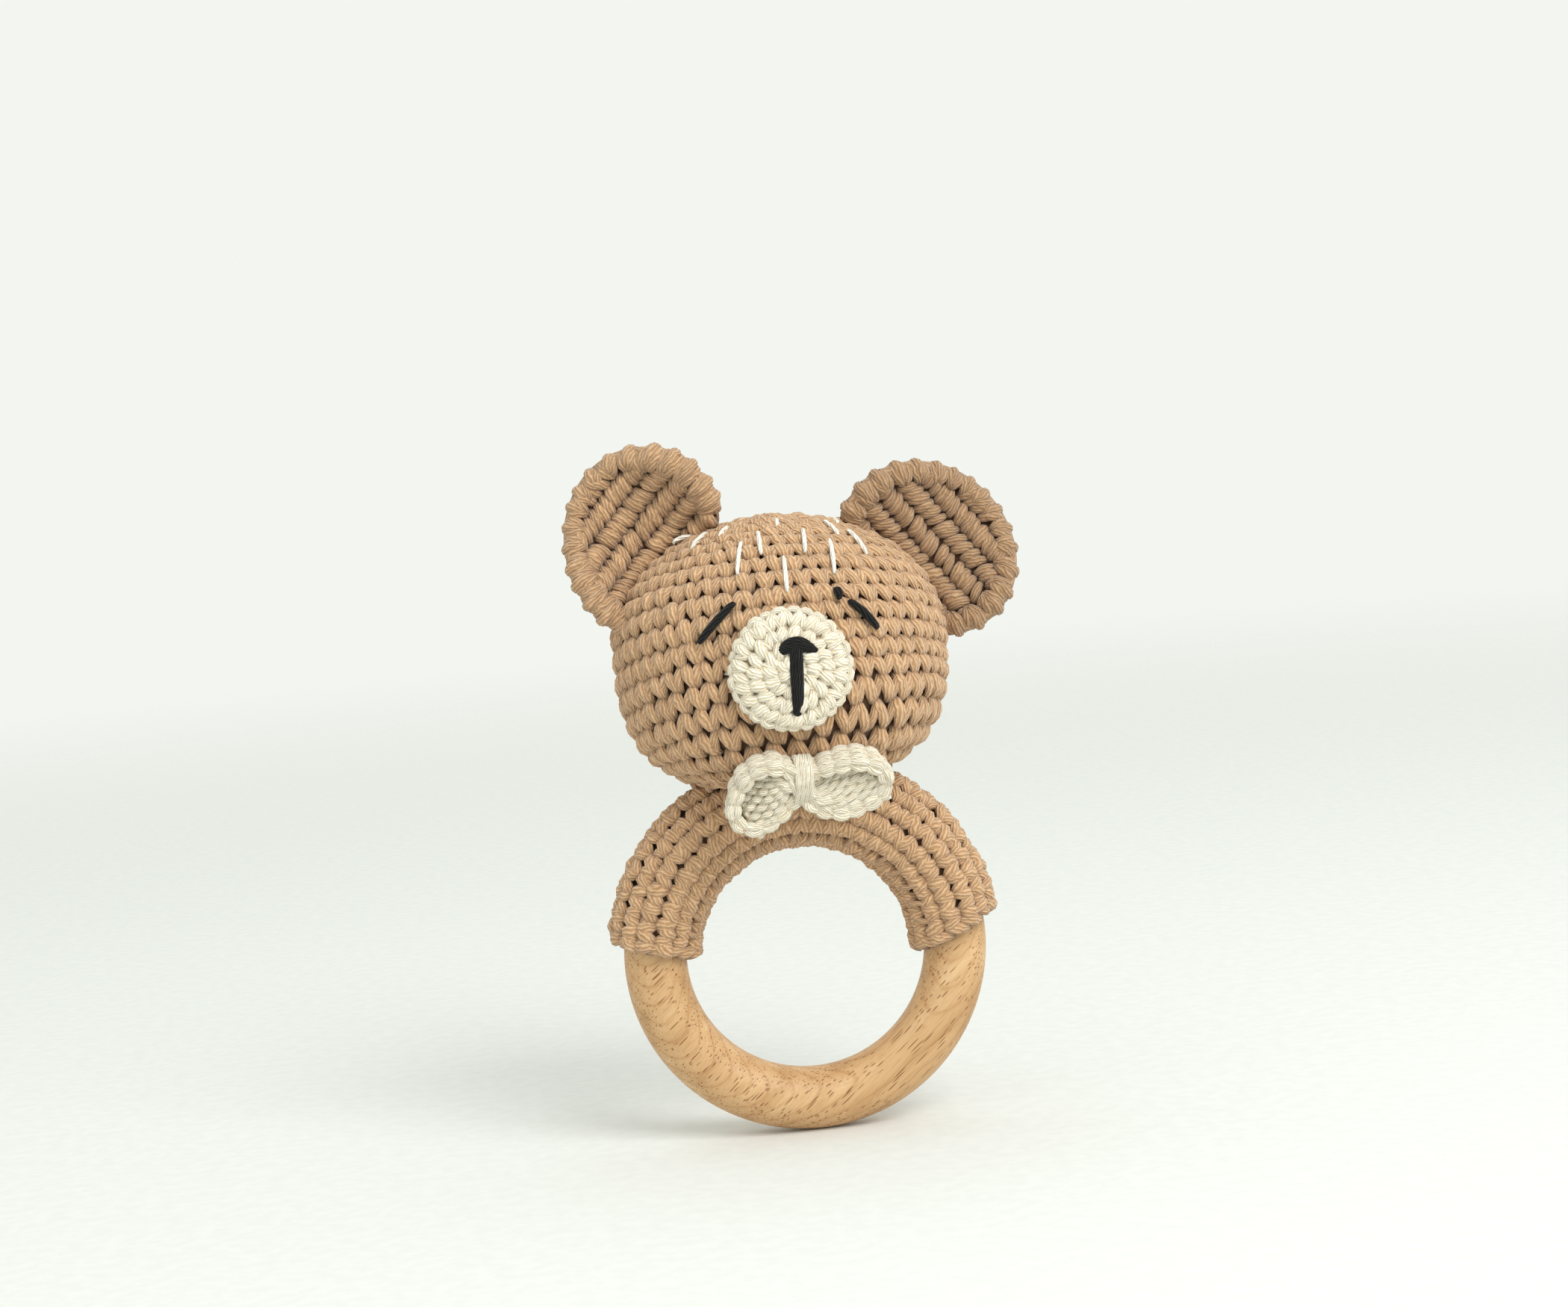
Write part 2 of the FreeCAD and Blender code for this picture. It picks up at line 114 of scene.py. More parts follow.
def smoothed(weights, points):
    """Control points (m, p, 3) carried to samples on their smooth curves."""
    return np.einsum("kp,mpx->mkx", weights, points)


def eased(share):
    """A share from 0 to 1 that changes slowly near both."""
    return share * share * (3 - 2 * share)


def way_along(line):
    """How far along a line each of its points lies."""
    return np.concatenate([[0], np.cumsum(np.linalg.norm(np.diff(line, axis=0), axis=1))])


def level_ups(path, up):
    """The same up direction at every point of a path."""
    return np.broadcast_to(np.array(up, float), path.shape)


class Work:
    """A mesh of yarn in the making: strands swept along paths, and the layers of painted shade under them."""

    def __init__(self):
        self.verts, self.loops, self.sizes, self.uvs, self.tones = [], [], [], [], []
        self.count = 0

    def _take(self, verts, tones, faces, uvs):
        """faces is (n, k) of vertex numbers, uvs is (n, k, 2)."""
        self.loops.append((faces + self.count).reshape(-1))
        self.sizes.append(np.full(len(faces), faces.shape[1]))
        self.uvs.append(uvs.reshape(-1, 2))
        if verts is not None:
            self.verts.append(verts.reshape(-1, 3))
            self.tones.append(tones.reshape(-1))

    def strands(self, paths, ups, wide, thick, tone):
        """paths and ups are (m, k, 3); half width, half thickness and tone are (m, k)."""
        m, k, _ = paths.shape
        sides = STRAND_SIDES
        tangent = unit(np.gradient(paths, axis=1))
        side = unit(np.cross(tangent, ups))
        up = np.cross(side, tangent)
        turn = np.arange(sides) * 2 * math.pi / sides
        ring = (paths[:, :, None] + (wide[..., None] * np.cos(turn))[..., None] * side[:, :, None]
                + (thick[..., None] * np.sin(turn))[..., None] * up[:, :, None])
        start = np.arange(m)[:, None, None] * k * sides
        a, s = np.arange(k - 1)[None, :, None], np.arange(sides)[None, None, :]
        low, nxt = start + a * sides, (s + 1) % sides
        quads = np.stack([low + s, low + sides + s, low + sides + nxt, low + nxt], axis=-1).reshape(-1, 4)
        steps = np.linalg.norm(np.diff(paths, axis=1), axis=2)
        length = np.concatenate([np.zeros((m, 1)), np.cumsum(steps, 1)], 1)
        u0 = np.broadcast_to(length[:, :-1, None], (m, k - 1, sides))
        u1 = np.broadcast_to(length[:, 1:, None], (m, k - 1, sides))
        v0, v1 = np.broadcast_to(s / sides, u0.shape), np.broadcast_to((s + 1) / sides, u0.shape)
        uv = np.stack([np.stack([u0, v0], -1), np.stack([u1, v0], -1), np.stack([u1, v1], -1),
                       np.stack([u0, v1], -1)], axis=-2).reshape(-1, 4, 2)
        tones = np.repeat(tone[..., None], sides, axis=2)
        first = start[:, 0] + np.arange(sides)[None, :]
        last = first[:, ::-1] + (k - 1) * sides
        caps = np.concatenate([first, last])
        cap_uv = np.zeros((len(caps), sides, 2))
        self._take(ring, tones, quads, uv)
        self._take(None, None, caps, cap_uv)
        self.count += m * k * sides

    def cord(self, path, up, wide, thick, tone):
        """One strand of even thickness along a (k, 3) path."""
        even = np.ones((1, len(path)))
        self.strands(path[None], level_ups(path[None], up), wide * even, thick * even, tone * even)

    def sheet(self, grid, tone, wrap=False):
        """A plain layer through a (rows, columns, 3) grid of points."""
        rows, cols, _ = grid.shape
        i = np.arange(rows - 1)[:, None]
        j = np.arange(cols if wrap else cols - 1)[None, :]
        nxt = (j + 1) % cols
        near, far = i * cols, (i + 1) * cols
        quads = np.stack([near + j, far + j, far + nxt, near + nxt], -1).reshape(-1, 4)
        self._take(grid, np.full(rows * cols, tone), quads, np.zeros((len(quads), 4, 2)))
        self.count += rows * cols

    def piece(self, name, material):
        """The finished object."""
        mesh = bpy.data.meshes.new(name)
        verts = np.concatenate(self.verts) * MM
        loops, sizes = np.concatenate(self.loops), np.concatenate(self.sizes)
        mesh.vertices.add(len(verts))
        mesh.vertices.foreach_set("co", verts.astype(np.float32).reshape(-1))
        mesh.loops.add(len(loops))
        mesh.loops.foreach_set("vertex_index", loops.astype(np.int32))
        mesh.polygons.add(len(sizes))
        mesh.polygons.foreach_set("loop_start", (np.cumsum(sizes) - sizes).astype(np.int32))
        mesh.polygons.foreach_set("use_smooth", np.ones(len(sizes), bool))
        mesh.update(calc_edges=True)
        layer = mesh.uv_layers.new(name="yarn")
        layer.data.foreach_set("uv", np.concatenate(self.uvs).astype(np.float32).reshape(-1))
        tone = mesh.attributes.new("tone", "FLOAT", "POINT")
        tone.data.foreach_set("value", np.concatenate(self.tones).astype(np.float32))
        mesh.materials.append(material)
        obj = bpy.data.objects.new(name, mesh)
        bpy.context.scene.collection.objects.link(obj)
        return obj


def fabric_frame(place, a, c, step):
    """Points of a fabric and its outward normals. place(a, c) gives points; step is (da, dc)."""
    da, dc = step
    normal = np.cross(place(a + da, c) - place(a - da, c), place(a, c + dc) - place(a, c - dc))
    return place(a, c), unit(normal)


def lay(work, place, step, cells, leaf, facing=1.0, wobble=0.05, size_spread=0.08):
    """Lays one leaf of every stitch on a fabric.

    cells is (m, 4): start along, start across, stitch width, row height. leaf has rows (along, across,
    height, half width, half thickness), with the first two in stitches and rows."""
    cells, leaf = np.asarray(cells, float), np.asarray(leaf, float)
    m, points = len(cells), len(leaf)
    shift = RANDOM.normal(0, wobble, (2, m, 1))
    lean = RANDOM.normal(0, wobble, (2, m, 1)) * np.linspace(-1, 1, points)
    along = cells[:, 0:1] + (leaf[:, 0] + shift[0] + lean[0]) * cells[:, 2:3]
    across = cells[:, 1:2] + (leaf[:, 1] + shift[1] * 0.5) * cells[:, 3:4]
    base, normal = fabric_frame(place, along, across, step)
    normal = normal * facing
    size = 1 + RANDOM.normal(0, size_spread, (m, 1))
    lift = RANDOM.normal(0, 0.10, (m, 1))
    height = leaf[:, 2] + lift
    paths = base + normal * height[..., None]
    weights = smooth_weights(points, LEAF_SAMPLES)
    # Painted shade: the lower a leaf lies in the fabric, the darker its tone; then a random spread in the
    # yarn's own tone.
    shade = np.clip(SHADE_AT_FABRIC + SHADE_RISE * (height + 0.5), SHADE_DARKEST, 1.0)
    shade = shade * (1 + RANDOM.normal(0, 0.045, (m, 1)))
    work.strands(
        smoothed(weights, paths), unit(smoothed(weights, normal)),
        size * (leaf[:, 3] @ weights.T), size * (leaf[:, 4] @ weights.T), shade @ weights.T,
    )


def mirrored(leaf):
    """A leaf turned over about the middle of its stitch."""
    return [(1 - s, t, h, w, k) for s, t, h, w, k in leaf]


def yarn_piece(work, name, material, slot, *nodes):
    """A finished piece on the toy, in place of the CAD nodes named."""
    obj = work.piece(name, material)
    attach(obj, "toy")
    if nodes:
        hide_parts(*nodes)
    return obj


# -------- materials

class Graph:
    """A material in the making: a Principled shader, and short ways to add the nodes that feed it."""

    def __init__(self, name):
        self.material = bpy.data.materials.new(name)
        self.material.use_nodes = True
        self.tree = self.material.node_tree
        self.tree.nodes.clear()
        self.shader = self.node("BsdfPrincipled")
        self.out = self.node("OutputMaterial", {"Surface": self.shader.outputs["BSDF"]})

    def feed(self, node, inputs):
        """Gives each of a node's inputs a constant, or a link from another node's output."""
        for name, value in inputs.items():
            if isinstance(value, bpy.types.NodeSocket):
                self.tree.links.new(value, node.inputs[name])
            else:
                node.inputs[name].default_value = value

    def node(self, kind, inputs=None, **settings):
        """Adds a node with these settings and inputs."""
        node = self.tree.nodes.new("ShaderNode" + kind)
        for name, value in settings.items():
            setattr(node, name, value)
        self.feed(node, inputs or {})
        return node

    def coords(self):
        """The piece's own coordinates, in metres."""
        return self.node("TexCoord").outputs["Object"]

    def math(self, operation, *values):
        return self.node("Math", dict(enumerate(values)), operation=operation).outputs[0]

    def scaled(self, value, factor, plus=None):
        """A value times a factor, and plus another where one is given."""
        product = self.math("MULTIPLY", value, factor)
        return product if plus is None else self.math("ADD", product, plus)

    def tinted(self, colour, tint):
        """One colour multiplied by another."""
        inputs = {"Factor": 1.0, "A": colour, "B": tint}
        return self.node("Mix", inputs, data_type="RGBA", blend_type="MULTIPLY").outputs["Result"]

    def noise(self, vector, scale, detail=2.0, roughness=0.5):
        inputs = {"Vector": vector, "Scale": scale, "Detail": detail, "Roughness": roughness}
        return self.node("TexNoise", inputs).outputs["Fac"]

    def ramp(self, fac, stops):
        """Colours by place, eased between."""
        node = self.node("ValToRGB", {"Fac": fac})
        elements = node.color_ramp.elements
        node.color_ramp.interpolation = "EASE"
        while len(elements) < len(stops):
            elements.new(0.5)
        for element, (place, colour) in zip(elements, stops):
            element.position, element.color = place, (*colour, 1)
        return node.outputs["Color"]

    def bump(self, height, distance, strength=1.0):
        inputs = {"Height": height, "Distance": distance, "Strength": strength}
        return self.node("Bump", inputs).outputs["Normal"]

    def surface(self, inputs):
        """The finished material, its shader fed with these."""
        self.feed(self.shader, inputs)
        return self.material


def linear(r, g, b):
    """An sRGB colour given in 0-255 as scene-linear values."""
    shares = (r / 255, g / 255, b / 255)
    return tuple(c / 12.92 if c <= 0.04045 else ((c + 0.055) / 1.055) ** 2.4 for c in shares)


WHITE = (1, 1, 1)


def yarn_material(name, groove, body, light, hollow_shade, plies=9, sheen=0.25):
    """Soft cotton yarn: fine strands run along it with a slight twist, painted shade between them and painted
    light on their tops, over a patchy variation in the yarn's own colour.

    The three colours are sRGB. The last argument is a colour of painted shade that they are multiplied by
    deep between the stitches."""
    twist, wander, relief = 0.35, 2.2, 0.0002
    graph = Graph(name)
    coords = graph.coords()
    u, v, _ = graph.node("SeparateXYZ", {0: graph.node("UVMap", uv_map="yarn").outputs["UV"]}).outputs
    fibre = graph.scaled(v, plies, plus=graph.scaled(u, twist))
    fibre = graph.scaled(graph.noise(coords, 420.0), wander, plus=fibre)
    wave = graph.scaled(graph.math("SINE", graph.scaled(fibre, 2 * math.pi)), 0.5, plus=0.5)
    patch = graph.noise(coords, 900.0, 4.0, 0.6)
    value = graph.scaled(wave, 0.45, plus=graph.scaled(patch, 0.55))
    # Painted shade in the grooves between the fine strands and painted light on their tops, mixed with a
    # random patchy variation in the yarn's own colour.
    colour = graph.ramp(value, [(0.14, linear(*groove)), (0.46, linear(*body)), (0.86, linear(*light))])
    # Painted shade between the stitches: the lower a point's tone, the more its colour is darkened, down to
    # the darkest painted shade.
    tone = graph.node("Attribute", attribute_name="tone").outputs["Fac"]
    half_lit = tuple(0.35 * c + 0.65 for c in hollow_shade)
    deep = graph.ramp(tone, [(0.30, hollow_shade), (0.72, half_lit), (1.0, WHITE)])
    return graph.surface({
        "Base Color": graph.tinted(colour, deep), "Roughness": 0.92, "Specular IOR Level": 0.15,
        "Sheen Weight": sheen, "Sheen Roughness": 0.6, "Normal": graph.bump(wave, relief)})


BROWN = yarn_material("brown_cotton_yarn", (158, 117, 82), (198, 158, 117), (224, 187, 147),
                      hollow_shade=(0.13, 0.08, 0.055))
CREAM = yarn_material("cream_cotton_yarn", (210, 190, 152), (244, 233, 209), (255, 251, 238),
                      hollow_shade=(0.55, 0.42, 0.27))
# A lighter copy of the cream yarn for the forehead threads, which are of the same yarn: painted light.
CREAM_LIT = yarn_material("cream_cotton_thread_lit", (236, 226, 204), (253, 249, 238), (255, 255, 250),
                     hollow_shade=(0.70, 0.60, 0.50), plies=5)
BLACK = yarn_material("black_cotton_thread", (8, 8, 8), (18, 18, 18), (44, 44, 42),
                      hollow_shade=(0.5, 0.5, 0.5), plies=8, sheen=0.06)

# Slant of the ring's grain, and the direction that its growth rings are stacked in.
GRAIN_SLANT = math.radians(40)
GROWTH_WAY = (0.30, 0.85, -0.43)
# How fine the ring's flecks, fibres and bands are along the grain and across it, and how close its years lie.
FLECK_GRAIN, FIBRE_GRAIN, BAND_GRAIN = (125, 2000), (120, 3800), (14, 210)
YEAR_PITCH, YEAR_DRIFT = 3300.0, 15.0


def beech_material():
    """Oiled beech: soft growth bands and short dark flecks, the grain slanting across the ring."""
    graph = Graph("oiled_beech")
    coords = graph.coords()

    def stretched(along, across):
        """Coordinates that run with the grain, drawn out along it."""
        turned = graph.node("Mapping", {"Vector": coords, "Rotation": (0, GRAIN_SLANT, 0)}).outputs["Vector"]
        return graph.node("Mapping", {"Vector": turned, "Scale": (along, across, across)}).outputs["Vector"]

    cells = {"Vector": stretched(*FLECK_GRAIN), "Scale": 1.0}
    flecks = graph.node("TexVoronoi", cells).outputs["Distance"]
    fibres = graph.noise(stretched(*FIBRE_GRAIN), 1.0, 3.0, 0.6)
    bands = graph.noise(stretched(*BAND_GRAIN), 1.0)
    depth = graph.node("VectorMath", {0: coords, 1: GROWTH_WAY}, operation="DOT_PRODUCT").outputs["Value"]
    drift = graph.scaled(graph.noise(coords, 45.0), YEAR_DRIFT)
    years = graph.math("SINE", graph.scaled(depth, YEAR_PITCH, plus=drift))
    years = graph.scaled(years, 0.5, plus=0.5)
    colour = graph.ramp(bands, [(0.30, linear(190, 149, 103)), (0.52, linear(206, 167, 121)),
                                (0.72, linear(219, 184, 139))])
    for fac, stops in (
        (fibres, [(0.25, (0.82, 0.78, 0.74)), (0.6, WHITE)]),
        (years, [(0.0, (0.88, 0.82, 0.76)), (0.10, (0.98, 0.97, 0.96)), (0.6, WHITE)]),
        (flecks, [(0.18, (0.46, 0.33, 0.24)), (0.29, WHITE)]),
    ):
        colour = graph.tinted(colour, graph.ramp(fac, stops))
    rough = graph.ramp(fibres, [(0.2, (0.52,) * 3), (0.8, (0.40,) * 3)])
    return graph.surface({"Base Color": colour, "Roughness": rough, "Specular IOR Level": 0.35,
                          "Normal": graph.bump(flecks, 0.00006, 0.5)})


def plain_material(name, dark, light, scale, roughness, metallic=0.0, relief=0.00005):
    """A near-uniform material whose colour and surface vary slightly with a noise."""
    graph = Graph(name)
    grain = graph.noise(graph.coords(), scale, 4.0, 0.6)
    colour = graph.ramp(grain, [(0.3, dark), (0.7, light)])
    return graph.surface({"Base Color": colour, "Roughness": roughness, "Metallic": metallic,
                          "Normal": graph.bump(grain, relief)})


def dress(node, material):
    """Gives a CAD node its finished material."""
    mesh = frame["nodes"][node].data
    mesh.materials.clear()
    mesh.materials.append(material)


dress("wooden_ring", beech_material())
dress("head_stuffing", plain_material("loose_fibre", (0.78, 0.78, 0.76), (0.92, 0.92, 0.90), 900, 0.95,
                                      relief=0.0006))
CAPSULE = plain_material("capsule_plastic", (0.84, 0.84, 0.81), (0.88, 0.88, 0.86), 300, 0.32)
STEEL = plain_material("pellet_steel", (0.50, 0.50, 0.52), (0.62, 0.62, 0.64), 1500, 0.22, metallic=1.0)
for node in sorted(frame["nodes"]):
    if node.startswith("capsule_"):
        dress(node, CAPSULE)
    if node.startswith("pellet_"):
        dress(node, STEEL)


# -------- head

PROFILE_POINTS = 240


def head_profile():
    """Half width and height down the head's fabric, and the length along it from the crown."""
    t = np.linspace(0, math.pi / 2, PROFILE_POINTS)
    top = np.stack([HEAD_W * np.sin(t), WIDEST_Z + (CROWN_Z - WIDEST_Z) * np.cos(t)], 1)
    drop = np.linspace(0, WIDEST_Z - NECK_Z, PROFILE_POINTS)[1:]
    low = np.stack([HEAD_W * (1 - (drop / HEAD_DROP) ** DROP_POWER) ** (1 / DROP_POWER), WIDEST_Z - drop], 1)
    line = np.concatenate([top, low])
    way = unit(np.gradient(line, axis=0))
    line = line - FABRIC_INSET * np.stack([-way[:, 1], way[:, 0]], 1)
    line[:, 0] = np.maximum(line[:, 0], 0)
    return line[:, 0], line[:, 1], way_along(line)


PROFILE_R, PROFILE_Z, PROFILE_L = head_profile()
# The rounds tip: how much higher they stand at the face, how much they lean sideways at three places down
# from the crown, and over what length the tip sets in from the crown and from the neck.
FACE_RISE = 7.0
SWAY_AT, SWAY = (20, 36, 58), (1.0, 0.6, -3.4)
CROWN_EASE, NECK_EASE = 26, 21


def head_place(turn, down):
    """A point of the head's fabric.

    turn goes round from the face to the right, and down is the way from the crown along a round's tip."""
    angle = 2 * math.pi * turn
    down = np.abs(down)
    ease = eased(np.clip(np.minimum(down / CROWN_EASE, (PROFILE_L[-1] - down) / NECK_EASE), 0, 1))
    sway = np.interp(down, SWAY_AT, SWAY)
    down = down + ease * (sway * np.sin(angle) - FACE_RISE * np.cos(angle))
    r, z = np.interp(down, PROFILE_L, PROFILE_R), np.interp(down, PROFILE_L, PROFILE_Z)
    return np.stack([r * np.sin(angle), -HEAD_FLAT * r * np.cos(angle), z], -1)


HEAD_STEP = (-0.002, 0.15)
# A single crochet seen from outside: a fat leg curving down to the right and a thin one down to the left.
FAT_LEG = [(0.44, -0.06, -0.7, 0.85, 0.60), (0.54, 0.12, 0.45, 1.22, 0.80), (0.72, 0.42, 0.92, 1.35, 0.90),
           (0.92, 0.74, 0.82, 1.22, 0.85), (1.04, 0.98, 0.10, 0.90, 0.65), (1.06, 1.10, -0.6, 0.60, 0.50)]
THIN_LEG = [(0.46, -0.06, -0.8, 0.70, 0.55), (0.34, 0.14, 0.35, 1.00, 0.70), (0.22, 0.45, 0.70, 1.10, 0.78),
            (0.16, 0.76, 0.60, 1.00, 0.72), (0.15, 0.98, 0.00, 0.75, 0.55), (0.15, 1.08, -0.6, 0.55, 0.45)]


def head_cells():
    """Every stitch of the head, round by round from the crown, a multiple of six to each."""
    rows = int(PROFILE_L[-1] / ROW)
    pitch = PROFILE_L[-1] / rows
    cells, phase = [], 0.0
    for row in range(rows):
        r = float(np.interp((row + 0.5) * pitch, PROFILE_L, PROFILE_R))
        around = 2 * math.pi * r * (1 + HEAD_FLAT) / 2
        n = 6 * max(1, min(9, round(around / (6 * STITCH))))
        phase += 0.3
        for j in range(n):
            cells.append([(j + phase) / n, row * pitch, 1 / n, pitch])
    return np.array(cells)


def make_head():
    cells = head_cells()
    half = len(cells) // 2
    for name, part, nodes in (("head_upper_rounds", cells[:half], ["head_skin"]),
                              ("head_lower_rounds", cells[half:], [])):
        work = Work()
        lay(work, head_place, HEAD_STEP, part, THIN_LEG)
        lay(work, head_place, HEAD_STEP, part, FAT_LEG)
        first = part[0][1] - 1
        last = part[-1][1] + part[-1][3] + (1 if name == "head_upper_rounds" else 0)
        down, turn = np.meshgrid(np.linspace(max(first, 0.02), min(last, PROFILE_L[-1]), 24),
                                 np.linspace(0, 1, 73)[:-1], indexing="ij")
        points, normal = fabric_frame(head_place, turn, down, HEAD_STEP)
        # A dark layer of painted shade under the stitches, seen through their gaps.
        work.sheet(points - 0.5 * normal, UNDER_SHADE, wrap=True)
        obj = yarn_piece(work, name, BROWN, "brown_cotton", *nodes)


def face_y(x, z, lift=0.0):
    """Depth of the front of the head at x, z."""
    down = np.interp(-np.asarray(z), -PROFILE_Z, PROFILE_L)
    r = np.interp(down, PROFILE_L, PROFILE_R) + FABRIC_INSET
    return -HEAD_FLAT * np.sqrt(np.maximum(r**2 - np.asarray(x) ** 2, 0)) - lift


# -------- sleeve on the ring

# Where the right and left ends of the sleeve cross the rod, and how far each is slanted.
SLEEVE_FROM_DEG, SLEEVE_TO_DEG = 3.0, 173.3
SLEEVE_FROM_SLANT, SLEEVE_TO_SLANT = math.radians(20.0), math.radians(8.0)
SLEEVE_FABRIC_R = SLEEVE_R - 1.2
SLEEVE_STITCHES = 25
SLEEVE_LINES = 7
LINE_DEG = 360 / SLEEVE_LINES
FRONT_LINE_DEG = 85.0


def sleeve_place(along, tube_deg, r=SLEEVE_FABRIC_R):
    """A point of the sleeve.

    along goes from 0 at its left end over the top to 1, and tube_deg from outward to the face."""
    tube = np.radians(tube_deg)
    out = RING_MAJOR + r * np.cos(tube)
    last = math.radians(SLEEVE_TO_DEG) - r * np.cos(tube) * math.tan(SLEEVE_TO_SLANT) / out
    first = math.radians(SLEEVE_FROM_DEG) + r * np.cos(tube) * math.tan(SLEEVE_FROM_SLANT) / out
    turn = last + (first - last) * along
    return RING_CENTRE + np.stack([out * np.cos(turn), -r * np.sin(tube), out * np.sin(turn)], -1)


SLEEVE_STEP = (-0.004, 1.0)
STAR_LEG = [(0.50, 0.04, -0.9, 0.55, 0.50), (0.60, 0.17, 0.45, 1.05, 0.80), (0.76, 0.45, 1.05, 1.28, 0.98),
            (0.90, 0.76, 0.90, 1.18, 0.92), (0.98, 0.98, 0.10, 0.80, 0.65), (1.00, 1.12, -0.7, 0.60, 0.45)]
STAR_RAY = [(0.50, 0.06, -0.8, 0.50, 0.50), (0.47, 0.20, 0.35, 0.90, 0.75), (0.44, 0.46, 0.85, 1.15, 0.85),
            (0.44, 0.75, 0.75, 1.05, 0.80), (0.46, 0.96, 0.00, 0.80, 0.55), (0.46, 1.10, -0.7, 0.55, 0.42)]
# The sleeve's two ends are closed off by a cord of slip stitches.
LIP_LEAF = [(-0.45, 0.0, -0.5, 0.9, 0.6), (-0.25, 0.25, 0.5, 1.1, 0.8), (0.15, 0.55, 0.75, 1.1, 0.85),
            (0.55, 0.85, 0.45, 0.9, 0.7), (0.7, 1.05, -0.5, 0.7, 0.5)]
LIP_PITCH, LIP_LENGTH = 24.0, 40.0


def make_sleeve():
    work = Work()
    cells = []
    for line in range(SLEEVE_LINES):
        start = FRONT_LINE_DEG + line * LINE_DEG
        for j in range(SLEEVE_STITCHES):
            along = (j + 0.5 * (line % 2)) / (SLEEVE_STITCHES + 0.5)
            for direction in (1, -1):
                cells.append([along, start, 1 / (SLEEVE_STITCHES + 0.5), direction * LINE_DEG / 2])
    for leaf in (STAR_RAY, mirrored(STAR_LEG), STAR_LEG):
        lay(work, sleeve_place, SLEEVE_STEP, cells, leaf, wobble=0.06)
    along, tube = np.meshgrid(np.linspace(0, 1, 60), np.linspace(0, 360, 33)[:-1], indexing="ij")
    # A dark layer of painted shade under the stitches, seen through their gaps.
    work.sheet(sleeve_place(along, tube, SLEEVE_FABRIC_R - 0.4), UNDER_SHADE, wrap=True)
    for end in (0.0, 1.0):
        inward = 1 if end == 0 else -1
        lip = [[end + 0.008 * inward, tube, 0.02, LIP_LENGTH] for tube in np.arange(0, 360, LIP_PITCH)]
        cord = [(s * inward, t, h, w, e) for s, t, h, w, e in LIP_LEAF]
        lay(work, sleeve_place, SLEEVE_STEP, lip, cord, wobble=0.04)
    yarn_piece(work, "sleeve_stitches", BROWN, "brown_cotton", "ring_sleeve")


# -------- ears

# Each ear's long and short radius, the slope of its long radius, how far its middle lies out from the seam
# and down along it, the radius of its cup, and how much painted shade darkens its yarn, the right ear more.
EAR_SHAPES = {
    "left": {"long": 18.1, "short": 15.6, "slope": 90, "out": 8.8, "down": -2.4, "cup": 18.5, "tone": 0.88},
    "right": {"long": 18.2, "short": 16.2, "slope": -40, "out": 9.2, "down": 2.5, "cup": 27.0, "tone": 0.73},
}
# Both faces of an ear lie this far from its middle, and the layers of painted shade a little less; then that
# shade's tone.
EAR_LAYER, EAR_UNDER_LAYER, EAR_UNDER_SHADE = 0.7, 0.6, 0.40
EAR_PITCH = 4.05
EAR_STITCH = 4.0
# How far the rows stop short of the edge at their middle and at their outer side, and the layers of painted
# shade at their ends and at the tip.
ROW_INSET, ROW_TOP_INSET = 2.3, 1.2
UNDER_INSET, UNDER_TIP_INSET = 2.0, 2.5
NUGGET = [(0.02, 0.02, -0.5, 0.80, 0.60), (0.08, 0.20, 0.50, 1.05, 0.85), (0.20, 0.48, 0.95, 1.18, 1.00),
          (0.34, 0.76, 0.65, 1.05, 0.88), (0.42, 0.97, -0.5, 0.78, 0.60)]
# The rim: bumps of three strokes each, wound over the edge from one face to the other round a cord.
RIM_SPREAD = math.radians(236)
RIM_CORD_INSET = 1.6
RIM_POINTS = 60
BUMP_PITCH = 4.1
# A stroke's points: inset from the edge, level towards the face, and share of the bump's fanning out.
STROKE = ((4.2, 0.3, 0.10), (3.0, 1.75, 0.45), (1.7, 1.75, 0.85), (0.9, 0.0, 1.0),
          (1.7, -1.75, 0.85), (3.0, -1.75, 0.45), (4.2, -0.3, 0.10))
STROKE_WIDE = np.array([0.5, 0.85, 1.05, 1.10, 1.05, 0.85, 0.5])
STROKE_THICK = np.array([0.5, 0.8, 0.95, 1.0, 0.95, 0.8, 0.5])
# Painted shade along a stroke: darker at both ends, where it goes into the ear's fabric.
STROKE_SHADE = np.array([0.40, 0.85, 1, 1, 0.95, 0.8, 0.40])
STROKE_SAMPLES = 13
# A bump's three strokes: which way each fans out, and how far it stands past the edge.
FAN = ((-1.0, -0.30), (0.0, 0.45), (1.0, -0.30))
FAN_WIDTH, FAN_LEAN = 0.32, 0.06


